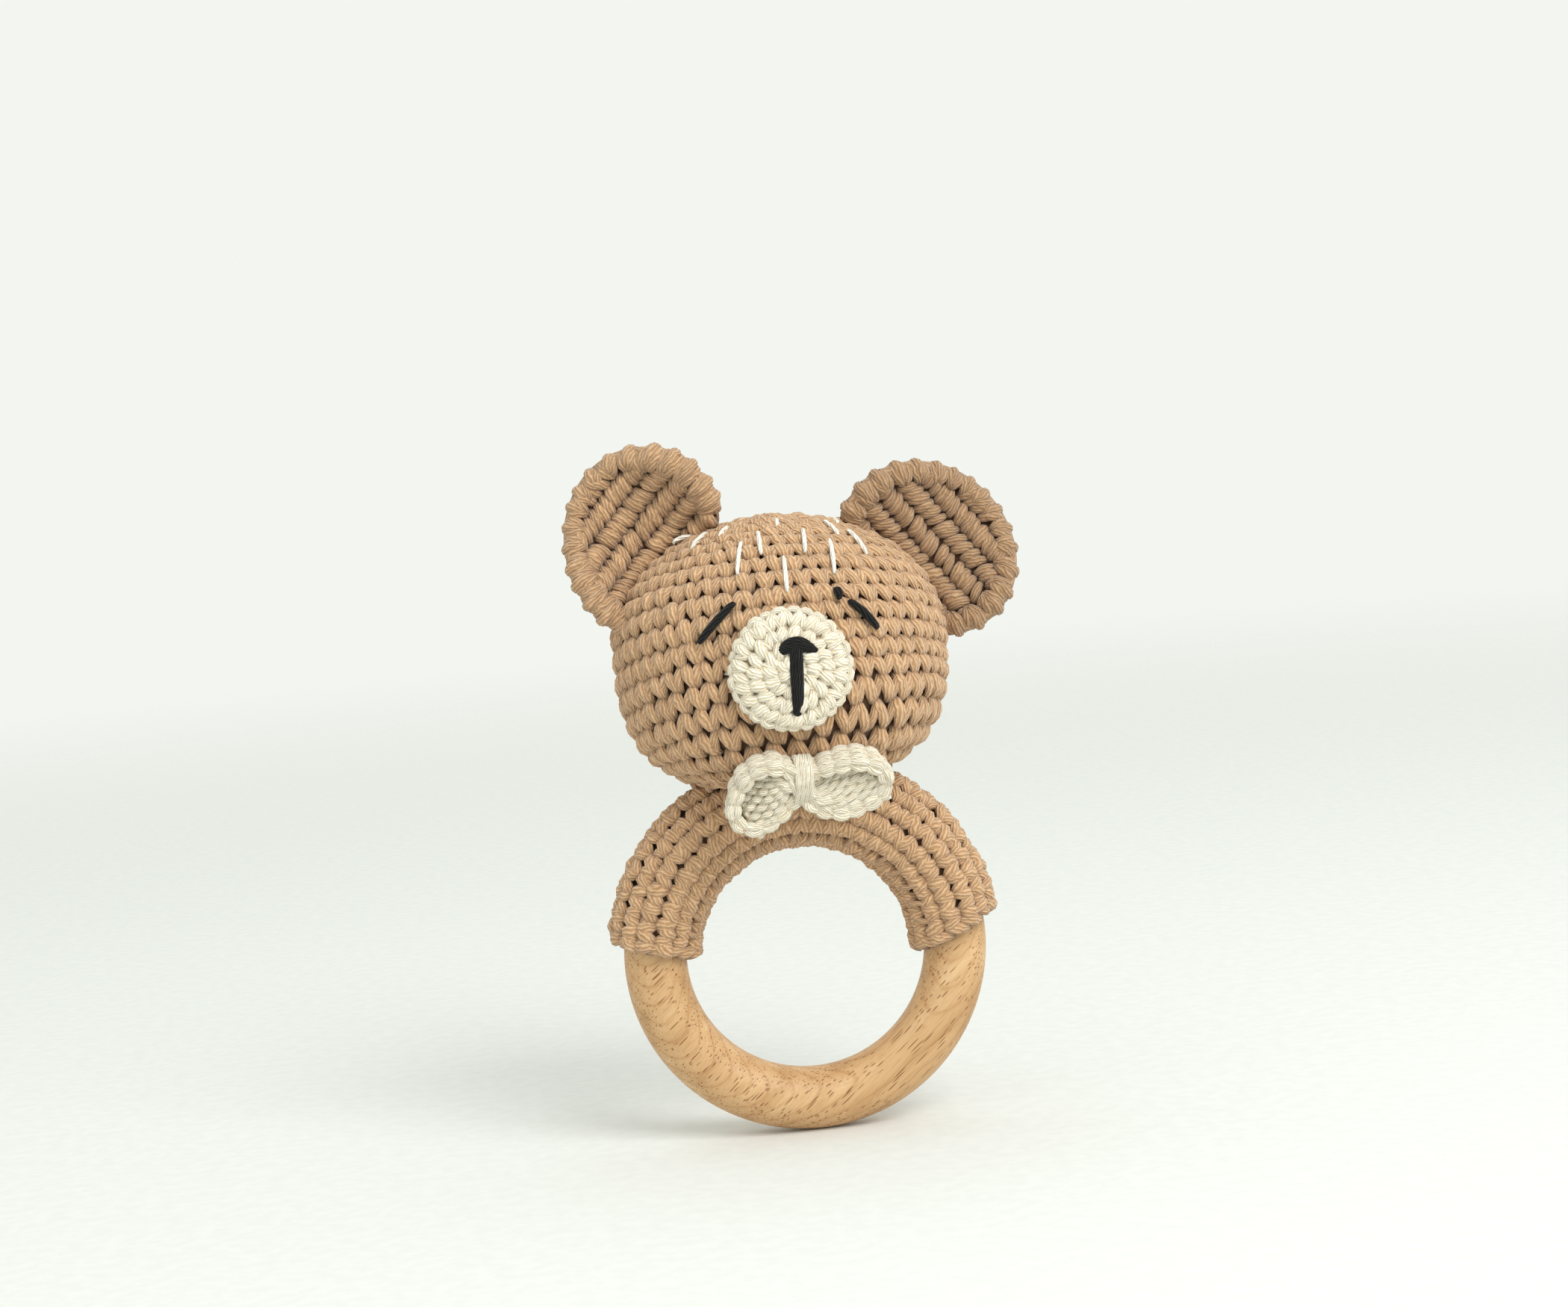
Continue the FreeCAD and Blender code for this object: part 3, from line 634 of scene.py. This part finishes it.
class Ear:
    """One ear's bent fabric, hung on its seam: where its points lie and how far its outline reaches."""

    def __init__(self, side):
        shape = EAR_SHAPES[side]
        joint = next(j for j in frame["joints"] if j["name"] == f"{side}_ear_flex")
        self.seam, along = np.array(joint["pos_m"]) / MM, np.array(joint["axis"])
        self.along = unit(along if along[2] < 0 else -along)
        out = unit(np.cross((0, 1, 0), self.along))
        self.out = out if out[0] * self.seam[0] > 0 else -out
        self.front = -1.0 if np.cross(self.along, self.out)[1] > 0 else 1.0
        self.middle_out, self.middle_down, self.cup = shape["out"], shape["down"], shape["cup"]
        self.mean_r = (shape["long"] + shape["short"]) / 2
        # The outline is an ellipse. aa, ao and oo are its form in the seam's own two directions.
        slope = math.radians(shape["slope"])
        form = sum(np.outer(axis, axis) / reach**2 for axis, reach in (
            (np.array((math.cos(slope), 0, math.sin(slope))), shape["long"]),
            (np.array((-math.sin(slope), 0, math.cos(slope))), shape["short"])))
        self.aa = self.along @ form @ self.along
        self.ao = self.along @ form @ self.out
        self.oo = self.out @ form @ self.out
        self.tip = self.middle_out + self.edge(0.0)

    def bend(self, across):
        """The way along the bent fabric to a point that lies this far across it."""
        return self.cup * np.arcsin(np.clip(across / self.cup, -0.995, 0.995))

    def place(self, p, q, level):
        """A point p along the bent fabric from its middle and q out from the seam, level towards the face."""
        angle = p / self.cup
        reach = self.cup - level
        across = self.middle_down + reach * np.sin(angle)
        depth = reach * np.cos(angle) - self.cup
        return (self.seam + across[..., None] * self.along + q[..., None] * self.out
                + depth[..., None] * np.array((0, 1.0, 0)))

    def span(self, q, inset):
        """Both ends, along the bent fabric, of the line across the ear at q, inset from the ear's edge."""
        h = np.asarray(q, float) - self.middle_out
        root = np.sqrt(np.maximum((self.ao * h) ** 2 - self.aa * (self.oo * h * h - 1), 0))
        ends = (-self.ao * h - root) / self.aa + inset, (-self.ao * h + root) / self.aa - inset
        return self.bend(np.stack(ends))

    def edge(self, turn):
        """The ear's radius at a turn from straight out."""
        sin, cos = np.sin(turn), np.cos(turn)
        return 1 / np.sqrt(self.aa * sin * sin + 2 * self.ao * sin * cos + self.oo * cos * cos)

    def inside(self, turn, reach):
        """Where the point lies that is reach away from the ear's middle at a turn from straight out."""
        return self.bend(reach * np.sin(turn)), self.middle_out + reach * np.cos(turn)


def ear_rows(work, ear):
    """Rows of stitches on both faces of an ear, and the layers of painted shade under them."""
    for facing, level in ((ear.front, EAR_LAYER), (-ear.front, -EAR_LAYER)):
        for k, q in enumerate(np.arange(0.4, ear.tip - EAR_PITCH - 0.5, EAR_PITCH)):
            lo, hi = ear.span(q + EAR_PITCH / 2, ROW_INSET)
            top_lo, top_hi = ear.span(q + EAR_PITCH, ROW_TOP_INSET)
            lo, hi = max(lo, top_lo), min(hi, top_hi)
            n = max(2, round((hi - lo) / EAR_STITCH))
            cells = [[lo + j * (hi - lo) / n, q, (hi - lo) / n, EAR_PITCH] for j in range(n)]
            leaf = NUGGET if k % 2 else [(0.5 - s, t, h, w, e) for s, t, h, w, e in NUGGET]
            for half in (0.0, 0.5):
                lay(work, lambda a, c, level=level: ear.place(a, c, level), (0.1, 0.1), cells,
                    [(s + half, t, h, w, e) for s, t, h, w, e in leaf],
                    facing=facing, wobble=0.05, size_spread=0.10)
    q = np.linspace(0, ear.tip - UNDER_TIP_INSET, 26)
    lo, hi = ear.span(q, UNDER_INSET)
    grid_p = lo[:, None] + (hi - lo)[:, None] * np.linspace(0, 1, 30)[None, :]
    grid_q = np.broadcast_to(q[:, None], grid_p.shape)
    # The layers of painted shade under both faces, seen through the stitches' gaps.
    for level in (EAR_UNDER_LAYER, -EAR_UNDER_LAYER):
        work.sheet(ear.place(grid_p, grid_q, level), EAR_UNDER_SHADE)


def ear_rim(work, ear):
    """The cord round an ear's edge, and the bumps wound over it."""
    turns = np.linspace(-RIM_SPREAD / 2, RIM_SPREAD / 2, RIM_POINTS)
    cord = ear.place(*ear.inside(turns, ear.edge(turns) - RIM_CORD_INSET), np.zeros(RIM_POINTS))
    # The cord under the bumps, a little darkened by painted shade.
    work.cord(cord, FORWARD, 1.5, 1.4, 0.9)
    bumps = round(RIM_SPREAD * ear.mean_r / BUMP_PITCH)
    weights = smooth_weights(len(STROKE), STROKE_SAMPLES)
    for j in range(bumps):
        middle_turn = -RIM_SPREAD / 2 + RIM_SPREAD * (j + 0.5) / bumps + RANDOM.normal(0, 0.012)
        size = 1 + RANDOM.normal(0, 0.06)
        middle_r = ear.edge(middle_turn)
        for way, rise in FAN:
            control = []
            for inset, level, spread in STROKE:
                turn = middle_turn + (way * spread * FAN_WIDTH + FAN_LEAN) * BUMP_PITCH / middle_r
                reach = ear.edge(turn) - inset + rise * size * (1 - inset / 5)
                control.append((*ear.inside(turn, reach), level))
            control = np.array(control)
            path = ear.place(*control.T)
            apex = control[len(STROKE) // 2]
            core = ear.place(apex[:1] * 0.86, apex[1:2] - (apex[1:2] - ear.middle_out) * 0.2, np.zeros(1))
            work.strands(smoothed(weights, path[None]), unit(smoothed(weights, unit(path - core)[None])),
                         (weights @ (size * STROKE_WIDE))[None], (weights @ STROKE_THICK)[None],
                         (weights @ STROKE_SHADE)[None])


def make_ear(side):
    work, ear = Work(), Ear(side)
    ear_rows(work, ear)
    ear_rim(work, ear)
    # Painted shade: each ear's yarn is darkened by its own amount, the right ear more than the left.
    work.tones = [tone * EAR_SHAPES[side]["tone"] for tone in work.tones]
    obj = work.piece(f"ear_{side}_stitches", BROWN)
    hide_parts(f"ear_{side}")
    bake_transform(obj)


# -------- muzzle, nose and threads

muzzle_lo, muzzle_hi = box_mm("muzzle_patch")
MUZZLE_X, MUZZLE_Z = (muzzle_lo[0] + muzzle_hi[0]) / 2, (muzzle_lo[2] + muzzle_hi[2]) / 2
MUZZLE_R = (muzzle_hi[0] - muzzle_lo[0]) / 2
MUZZLE_LIFT = 2.0
MUZZLE_ROUNDS = 4
CREAM_LEG = [(0.45, -0.06, -0.6, 0.60, 0.50), (0.52, 0.12, 0.45, 0.95, 0.66), (0.66, 0.42, 0.85, 1.05, 0.76),
             (0.82, 0.74, 0.80, 0.98, 0.72), (0.96, 0.98, 0.25, 0.80, 0.60), (1.02, 1.10, -0.5, 0.55, 0.45)]
CREAM_SIDE = [(0.45, -0.04, -0.6, 0.50, 0.45), (0.36, 0.14, 0.35, 0.78, 0.58), (0.24, 0.44, 0.68, 0.86, 0.64),
              (0.14, 0.76, 0.62, 0.80, 0.60), (0.08, 0.98, 0.15, 0.65, 0.50), (0.06, 1.08, -0.5, 0.50, 0.40)]
# The chain of stitches round the muzzle's edge.
EDGE_LINKS = 27
EDGE_LINK = [(-0.10, 0.3, 0.2, 0.5, 0.45), (0.25, 0.75, 0.75, 0.72, 0.60), (0.75, 0.7, 0.85, 0.78, 0.62),
             (1.15, 0.25, 0.35, 0.6, 0.5), (1.35, -0.1, -0.3, 0.45, 0.4)]


def muzzle_lift(rho):
    """How far the muzzle's fabric stands off the head: level, and turned down at its edge."""
    return MUZZLE_LIFT * (1 - 0.85 * np.clip(rho / (MUZZLE_R + 0.2), 0, 1.1) ** 6)


def muzzle_place(turn, rho):
    """A point of the muzzle's fabric, rho from its middle, turn going round from the top to the right."""
    angle = 2 * math.pi * turn
    x, z = MUZZLE_X + rho * np.sin(angle), MUZZLE_Z + rho * np.cos(angle)
    return np.stack([x, face_y(x, z, muzzle_lift(rho)), z], -1)


def muzzle_front(x, z, lift):
    """Depth of a thread that lies lift above the muzzle's fabric at x, z."""
    return face_y(x, z, muzzle_lift(np.hypot(x - MUZZLE_X, z - MUZZLE_Z)) + lift)


def make_muzzle():
    work = Work()
    pitch = (MUZZLE_R - 1.2) / MUZZLE_ROUNDS
    cells = []
    for k in range(MUZZLE_ROUNDS):
        n = 6 * (k + 1)
        cells += [[(j + 0.35 * k) / n, k * pitch + 0.15, 1 / n, pitch] for j in range(n)]
    for leaf in (CREAM_SIDE, CREAM_LEG):
        lay(work, muzzle_place, (0.004, 0.1), cells, leaf, wobble=0.07)
    links = [[j / EDGE_LINKS, MUZZLE_R - 1.7, 1 / EDGE_LINKS, 1.1] for j in range(EDGE_LINKS)]
    lay(work, muzzle_place, (0.004, 0.1), links, EDGE_LINK)
    # A layer of painted shade under the muzzle's stitches, seen through their gaps; its rim is tucked in
    # against the head.
    rho, turn = np.meshgrid(np.linspace(0.05, MUZZLE_R - 0.3, 14), np.linspace(0, 1, 49)[:-1], indexing="ij")
    base = muzzle_place(turn, rho)
    base[-1, :, 1] = face_y(base[-1, :, 0], base[-1, :, 2], -1.0)
    work.sheet(base, 0.55, wrap=True)
    yarn_piece(work, "muzzle_rounds", CREAM, "cream_cotton", "muzzle_patch")


THREAD_SAMPLES = 12


def thread(work, points, up, r, taper):
    """One round thread through the points, taper times as thick at its ends."""
    points = np.asarray(points, float)[None]
    weights = smooth_weights(points.shape[1], THREAD_SAMPLES)
    fat = r * (taper + (1 - taper) * np.sin(np.linspace(0, math.pi, THREAD_SAMPLES)))[None]
    path = smoothed(weights, points)
    work.strands(path, level_ups(path, unit(np.asarray(up, float))), fat, fat, np.ones((1, THREAD_SAMPLES)))


def threads_of(node):
    """Ends and radius of every straight thread in a CAD node, found from its loose parts."""
    mesh = frame["nodes"][node].data
    co = np.empty(len(mesh.vertices) * 3)
    mesh.vertices.foreach_get("co", co)
    co = co.reshape(-1, 3) / MM
    edges = np.empty(len(mesh.edges) * 2, int)
    mesh.edges.foreach_get("vertices", edges)
    _, same = np.unique(np.round(co, 3), axis=0, return_inverse=True)
    same = same.reshape(-1)
    a, b = same[edges.reshape(-1, 2)].T
    label = np.arange(same.max() + 1)
    while True:
        low = np.minimum(label[a], label[b])
        new = label.copy()
        np.minimum.at(new, a, low)
        np.minimum.at(new, b, low)
        new = new[new]
        if (new == label).all():
            break
        label = new
    found = []
    for group in np.unique(label[same]):
        points = co[label[same] == group]
        middle = (points.max(0) + points.min(0)) / 2
        axis = np.linalg.svd(points - points.mean(0), full_matrices=False)[2][0]
        along = (points - middle) @ axis
        middle = middle + axis * (along.max() + along.min()) / 2
        half = (along.max() - along.min()) / 2
        r = np.linalg.norm(np.cross(points - middle, axis), axis=1).max()
        found.append((middle - axis * (half - r), middle + axis * (half - r), r))
    return found


def from_head_axis(point):
    """The way out of the head's fabric at a point of it."""
    return unit(np.array([point[0], point[1] / HEAD_FLAT**2, (point[2] - WIDEST_Z) * 1.2]))


def from_rod(point):
    """The way out of the ring's rod at a point round it."""
    flat = point - RING_CENTRE
    ring = unit(np.array([flat[0], 0, flat[2]])) * RING_MAJOR
    return unit(flat - ring)


def face_forward(point):
    """Forward, and a little away from the muzzle's middle."""
    return unit(np.array([point[0] - MUZZLE_X, -14.0, point[2] - MUZZLE_Z]))


def make_threads(name, node, material, slot, outward, arch, sink, fatness=1.0, taper=0.75, lower=0.0):
    """Yarn stitches in place of a CAD node's straight threads.

    Each stands arch over the fabric at its middle and goes sink into it at its ends. lower sets it all in."""
    work = Work()
    for p, q, r in threads_of(node):
        up = outward((p + q) / 2)
        way = unit(q - p)
        p, q = p - up * lower, q - up * lower
        points = [p - way * 0.3 - up * sink, p + way * 0.1, (p + q) / 2 + up * arch,
                  q - way * 0.1, q + way * 0.3 - up * sink]
        thread(work, points, up, r * fatness, taper)
    yarn_piece(work, name, material, slot, node)


# The nose's stitches from the top down: drop from the nose's top, share of its width, how far the ends bend
# down, and lift off the muzzle.
NOSE_STITCHES = ((0.45, 0.80, 1.5, 1.35), (0.95, 0.92, 1.35, 1.6), (1.5, 1.0, 1.2, 1.7),
                 (2.05, 1.02, 0.85, 1.6), (2.6, 0.95, 0.5, 1.4))
NOSE_THREAD_R, MOUTH_THREAD_R = 0.46, 0.52
# The mouth's strands side by side, and how they close in from the nose to the mouth's lower end.
MOUTH_STRANDS = (-0.72, -0.24, 0.24, 0.72)
MOUTH_CLOSING = np.array((1.0, 1.05, 1.0, 0.95, 0.9, 0.75, 0.3))


def make_nose():
    lo, hi = box_mm("nose_embroidery")
    half, top = (hi[0] - lo[0]) / 2 - 0.7, hi[2]
    x0 = (lo[0] + hi[0]) / 2
    work = Work()
    for drop, reach, bend, lift in NOSE_STITCHES:
        across = np.linspace(-1.0, 1.0, 7)
        xs, zs = x0 + across * half * reach, top - drop - bend * across**2
        points = np.stack([xs, muzzle_front(xs, zs, lift), zs], 1)
        points[[0, -1], 1] += 0.5
        thread(work, points, FORWARD, NOSE_THREAD_R, taper=0.8)
    lo, hi = box_mm("mouth_line_embroidery")
    for offset in MOUTH_STRANDS:
        xs = np.linspace(x0, lo[0] + 0.6, 7) + offset * MOUTH_CLOSING
        zs = np.linspace(hi[2], lo[2], 7)
        points = np.stack([xs, muzzle_front(xs, zs, 1.75 - abs(offset) * 0.25), zs], 1)
        points[-1, 1] += 0.9
        thread(work, points, FORWARD, MOUTH_THREAD_R, taper=0.85)
    yarn_piece(work, "nose_and_mouth_thread", BLACK, "black_cotton",
               "nose_embroidery", "mouth_line_embroidery")


# -------- bow

BOW_LEAN = math.radians(24.0)
wrap_lo, wrap_hi = box_mm("bow_wrap")
BOW_CENTRE = (wrap_lo + wrap_hi) / 2
BOW_LOOPS = {
    "left": {"centre": (-7.3, -1.6), "half": (7.9, 6.0), "tilt": 50.0},
    "right": {"centre": (8.0, -0.9), "half": (8.5, 6.0), "tilt": 12.0},
}
LINK = 3.1
LINK_LEG = [(-0.10, 0.0, -0.45, 0.48, 0.42), (0.15, 0.45, 0.30, 0.72, 0.56), (0.55, 0.74, 0.50, 0.80, 0.64),
            (0.95, 0.50, 0.48, 0.70, 0.56), (1.28, 0.04, -0.15, 0.48, 0.42)]
# The band's four braids from front to back: depth, and inset from the loop's outline.
BRAIDS = ((-2.9, 1.0), (-0.9, 0.9), (1.1, 1.1), (3.1, 1.7))
# How far the front braid is turned into the loop's own plane.
FRONT_TURN = 0.85
# At the bow's middle the band is drawn in: its half height there, the share of a loop over which it closes,
# the share of its depth that it loses, and over what distance.
GATHERED_HALF, GATHERED_SHARE = 2.6, 0.13
GATHERED_DEPTH, GATHERED_REACH = 0.45, 4.0
# Cords seen inside each loop: how far down the loop they lie, how deep, and how far they reach along it.
INNER_RIBS = ((0.66, -2.6, 0.84), (0.42, -2.4, 0.80), (0.16, -2.1, 0.74), (-0.10, -1.5, 0.62),
              (-0.34, -0.6, 0.50))
RIB_POINTS = 30
RIB_COIL_R, RIB_COILS, RIB_YARN = 0.48, 3.2, 0.68
WRAP_TURNS = (-1.2, -0.4, 0.4, 1.2)
WRAP_POINTS = 25
# How much the bow's painted shade is lifted towards full light.
BOW_SHADE_LIFT = 1.12


def on_chin(points):
    """From the bow's own frame, built round its middle, to its place against the chin."""
    c, s = math.cos(BOW_LEAN), math.sin(BOW_LEAN)
    x, y, z = np.moveaxis(np.asarray(points, float), -1, 0)
    return np.stack([x, y * c - z * s, y * s + z * c], -1) + BOW_CENTRE


def tilted(loop, x, z):
    """From a loop's own axes to the bow's."""
    (cx, cz), tilt = loop["centre"], math.radians(loop["tilt"])
    return cx + x * math.cos(tilt) - z * math.sin(tilt), cz + x * math.sin(tilt) + z * math.cos(tilt)


def loop_line(loop, inset):
    """A cord's centre line round one loop, both ends gathered at the bow's middle."""
    (cx, cz), (wide, high) = loop["centre"], loop["half"]
    toward = math.atan2(-cz, -cx) - math.radians(loop["tilt"])
    start = math.atan2(math.sin(toward) / high, math.cos(toward) / wide)
    t = np.linspace(0, 1, 120)
    angle = start + 2 * math.pi * t
    x, z = tilted(loop, (wide - inset) * np.cos(angle), (high - inset) * np.sin(angle))
    near = eased(np.clip(1 - np.minimum(t, 1 - t) / GATHERED_SHARE, 0, 1))
    side = math.copysign(1.0, cx)
    end_z = np.where(t < 0.5, -1.0, 1.0) * side * GATHERED_HALF
    line = np.stack([x * (1 - near) + 0.6 * side * near, z * (1 - near) + end_z * near], 1)
    return line, way_along(line)


def band_braid(work, loop, depth, inset, turned):
    """One braid of the band round a loop: a chain of links on both sides of a cord."""
    line, length = loop_line(loop, inset)

    def centre(a):
        """The cord's middle, a along it."""
        near = np.clip(np.exp(-np.minimum(a, length[-1] - a) / GATHERED_REACH), 0, 1)
        return np.stack([np.interp(a, length, line[:, 0]), depth * (1 - GATHERED_DEPTH * near),
                         np.interp(a, length, line[:, 1])], -1)

    def braid(a, c):
        """A point beside the cord, sideways across the band or, where turned, in the loop's plane."""
        along = unit(centre(a + 0.2) - centre(a - 0.2))
        inward = unit(np.cross(along, (0, 1.0, 0)))
        sideways = unit(turned * inward + (1 - turned) * np.array((0, 1.0, 0)))
        return on_chin(centre(a) + c[..., None] * sideways)

    count = round(length[-1] / LINK)
    cells = [[j * length[-1] / count, 0.0, length[-1] / count, 1.0] for j in range(count)]
    for facing in (1, -1):
        for leaf in (LINK_LEG, [(s, -t, h, w, e) for s, t, h, w, e in LINK_LEG]):
            lay(work, braid, (0.1, 0.1), cells, leaf, facing=facing, wobble=0.04)
    # The cord under the links, darkened by painted shade.
    work.cord(on_chin(centre(np.linspace(0, length[-1], 60))), FORWARD, 0.85, 0.85, 0.7)


def inner_rib(work, loop, low, depth, reach):
    """One cord seen inside a loop: two yarns coiled together, from the bow's middle outwards."""
    wide, high = loop["half"]
    way = math.copysign(1.0, loop["centre"][0])
    t = np.linspace(0.0, 1.0, RIB_POINTS)
    x = way * wide * (-0.95 + (0.95 + reach) * t)
    z = -high * low * np.sin(0.62 * t * math.pi) ** 0.8
    x, z = tilted(loop, x, z)
    start = np.clip(1 - t / 0.35, 0, 1) ** 1.5
    x, z = x * (1 - start) + 1.2 * way * start, z * (1 - start) - 1.6 * low * start
    line = np.stack([x, np.full(RIB_POINTS, depth), z], 1)
    for twin in (0.0, math.pi):
        turn = twin + t * 2 * math.pi * RIB_COILS
        coil = on_chin(line + RIB_COIL_R * np.stack([np.zeros(RIB_POINTS), np.sin(turn), np.cos(turn)], 1))
        # Both yarns a little darkened by painted shade.
        work.cord(coil, (0.1, -1.0, 0.1), RIB_YARN, RIB_YARN, 0.9)


def bow_middle(work):
    """The yarn wound round the bow's middle, and the gathered band under it."""
    turn = np.linspace(0, 2 * math.pi, WRAP_POINTS)
    even = np.ones((1, WRAP_POINTS))
    for x in WRAP_TURNS:
        loop = np.stack([x + 0.35 * np.sin(turn), 3.55 * np.cos(turn + 0.4), 4.5 * np.sin(turn + 0.4)], 1)
        path = on_chin(loop)[None]
        ups = unit(on_chin(loop * (1, 1.3, 1.3)) - on_chin(loop))[None]
        work.strands(path, ups, 0.58 * even, 0.6 * even, even)
    # The gathered band under the wrap, its cords darkened by painted shade.
    for z in (-2.2, 0.0, 2.2):
        work.cord(on_chin([(x, 0.0, z) for x in np.linspace(-2.5, 2.5, 6)]), FORWARD, 1.3, 2.4, 0.6)


def make_bow():
    work = Work()
    for loop in BOW_LOOPS.values():
        for k, (depth, inset) in enumerate(BRAIDS):
            band_braid(work, loop, depth, inset, FRONT_TURN if k == 0 else 0.0)
        for low, depth, reach in INNER_RIBS:
            inner_rib(work, loop, low, depth, reach)
    bow_middle(work)
    # Less painted shade on the bow: its tones are lifted, at most to full light.
    work.tones = [np.minimum(tone * BOW_SHADE_LIFT, 1.0) for tone in work.tones]
    yarn_piece(work, "bow_braids", CREAM, "cream_cotton", "bow_band", "bow_wrap")


make_head()
make_sleeve()
make_ear("left")
make_ear("right")
make_muzzle()
make_nose()
make_threads("neck_whip_stitches", "neck_seam_yarn", BROWN, "brown_cotton",
             from_head_axis, arch=0.5, sink=0.9)
make_threads("sleeve_seam_stitches", "sleeve_seam_yarn", BROWN, "brown_cotton",
             from_rod, arch=0.3, sink=0.8)
for ear_side in ("left", "right"):
    make_threads(f"ear_{ear_side}_whip_stitches", f"ear_{ear_side}_seam_yarn", BROWN, "brown_cotton",
                 from_head_axis, arch=0.5, sink=0.8, fatness=1.4)
make_threads("muzzle_edge_stitches", "muzzle_seam_thread", CREAM, "cream_cotton",
             face_forward, arch=0.0, sink=1.0, fatness=0.8, lower=1.3)
for eye_side in ("left", "right"):
    make_threads(f"eye_{eye_side}_thread", f"eye_{eye_side}_stitch", BLACK, "black_cotton",
                 from_head_axis, arch=0.5, sink=0.9, fatness=1.1, taper=0.3)
# The forehead threads are of the cream yarn, given its lighter copy: painted light.
make_threads("forehead_threads", "forehead_stitches", CREAM_LIT, "cream_cotton",
             from_head_axis, arch=0.3, sink=0.6, fatness=0.9, taper=0.35, lower=0.4)
make_threads("bow_sewing_thread", "bow_sewing_yarn", CREAM, "cream_cotton",
             from_head_axis, arch=-0.3, sink=0.4)
make_bow()

# -------- stage

KEY_PLACE, KEY_TARGET = (0.46, -0.81, 0.85), (0, 0, 0.08)
KEY_SIZE, KEY_POWER = 0.75, 9.0
FLOOR_RADIUS = 1.6
# The camera looks at the face from a little above and to the left, rolled so that the toy leans left.
CAMERA_AZIMUTH, CAMERA_ELEVATION, CAMERA_ROLL = math.radians(-5.0), math.radians(4.0), math.radians(5.0)
CAMERA_DISTANCE, CAMERA_LENS = 0.59, 70.3
# How far its aim lies above and left of the ring's centre, as it sees them.
AIM_UP, AIM_LEFT = 0.0568, 0.0042


def key_light():
    """A large soft lamp high up on the right."""
    light = bpy.data.lights.new("key", "AREA")
    light.shape, light.size, light.energy = "DISK", KEY_SIZE, KEY_POWER
    obj = bpy.data.objects.new("key", light)
    obj.location = KEY_PLACE
    obj.rotation_euler = (Vector(KEY_TARGET) - Vector(KEY_PLACE)).to_track_quat("-Z", "Y").to_euler()
    bpy.context.scene.collection.objects.link(obj)


def floor():
    """A pale shelf under the toy that fades out far from it."""
    bpy.ops.mesh.primitive_circle_add(vertices=128, radius=FLOOR_RADIUS, fill_type="NGON", location=(0, 0, 0))
    obj = bpy.context.object
    obj.name = "floor"
    graph = Graph("pale_shelf")
    coords = graph.coords()
    far = graph.node("VectorMath", {0: coords}, operation="LENGTH").outputs["Value"]
    fade = graph.ramp(graph.scaled(far, 1 / FLOOR_RADIUS), [(0.25, (0, 0, 0)), (0.95, WHITE)])
    speck = graph.noise(coords, 300.0, 3.0)
    colour = graph.ramp(speck, [(0.3, (0.755, 0.77, 0.75)), (0.7, (0.785, 0.80, 0.78))])
    graph.surface({"Base Color": colour, "Roughness": 0.7, "Specular IOR Level": 0.1})
    clear = graph.node("BsdfTransparent")
    mix = graph.node("MixShader", {0: fade, 1: graph.shader.outputs[0], 2: clear.outputs[0]})
    graph.feed(graph.out, {"Surface": mix.outputs[0]})
    obj.data.materials.append(graph.material)


def room():
    """Even pale light from all round."""
    world = bpy.data.worlds.new("pale_room")
    bpy.context.scene.world = world
    world.use_nodes = True
    background = world.node_tree.nodes["Background"]
    background.inputs["Color"].default_value = (*linear(243, 246, 240), 1)
    background.inputs["Strength"].default_value = 1.0


def camera():
    level, rise = math.cos(CAMERA_ELEVATION), math.sin(CAMERA_ELEVATION)
    back = Vector((math.sin(CAMERA_AZIMUTH) * level, -math.cos(CAMERA_AZIMUTH) * level, rise))
    right = Vector((0, 0, 1)).cross(back).normalized()
    up = back.cross(right)
    cos, sin = math.cos(CAMERA_ROLL), math.sin(CAMERA_ROLL)
    right, up = right * cos - up * sin, up * cos + right * sin
    aim = Vector(RING_CENTRE * MM) + up * AIM_UP - right * AIM_LEFT
    data = bpy.data.cameras.new("camera")
    data.lens, data.sensor_width = CAMERA_LENS, 36
    obj = bpy.data.objects.new("camera", data)
    turned = Matrix((right, up, back)).transposed().to_4x4()
    obj.matrix_world = Matrix.Translation(aim + back * CAMERA_DISTANCE) @ turned
    bpy.context.scene.collection.objects.link(obj)
    bpy.context.scene.camera = obj


floor()
room()
key_light()
camera()
bpy.context.scene.view_settings.view_transform = "Standard"
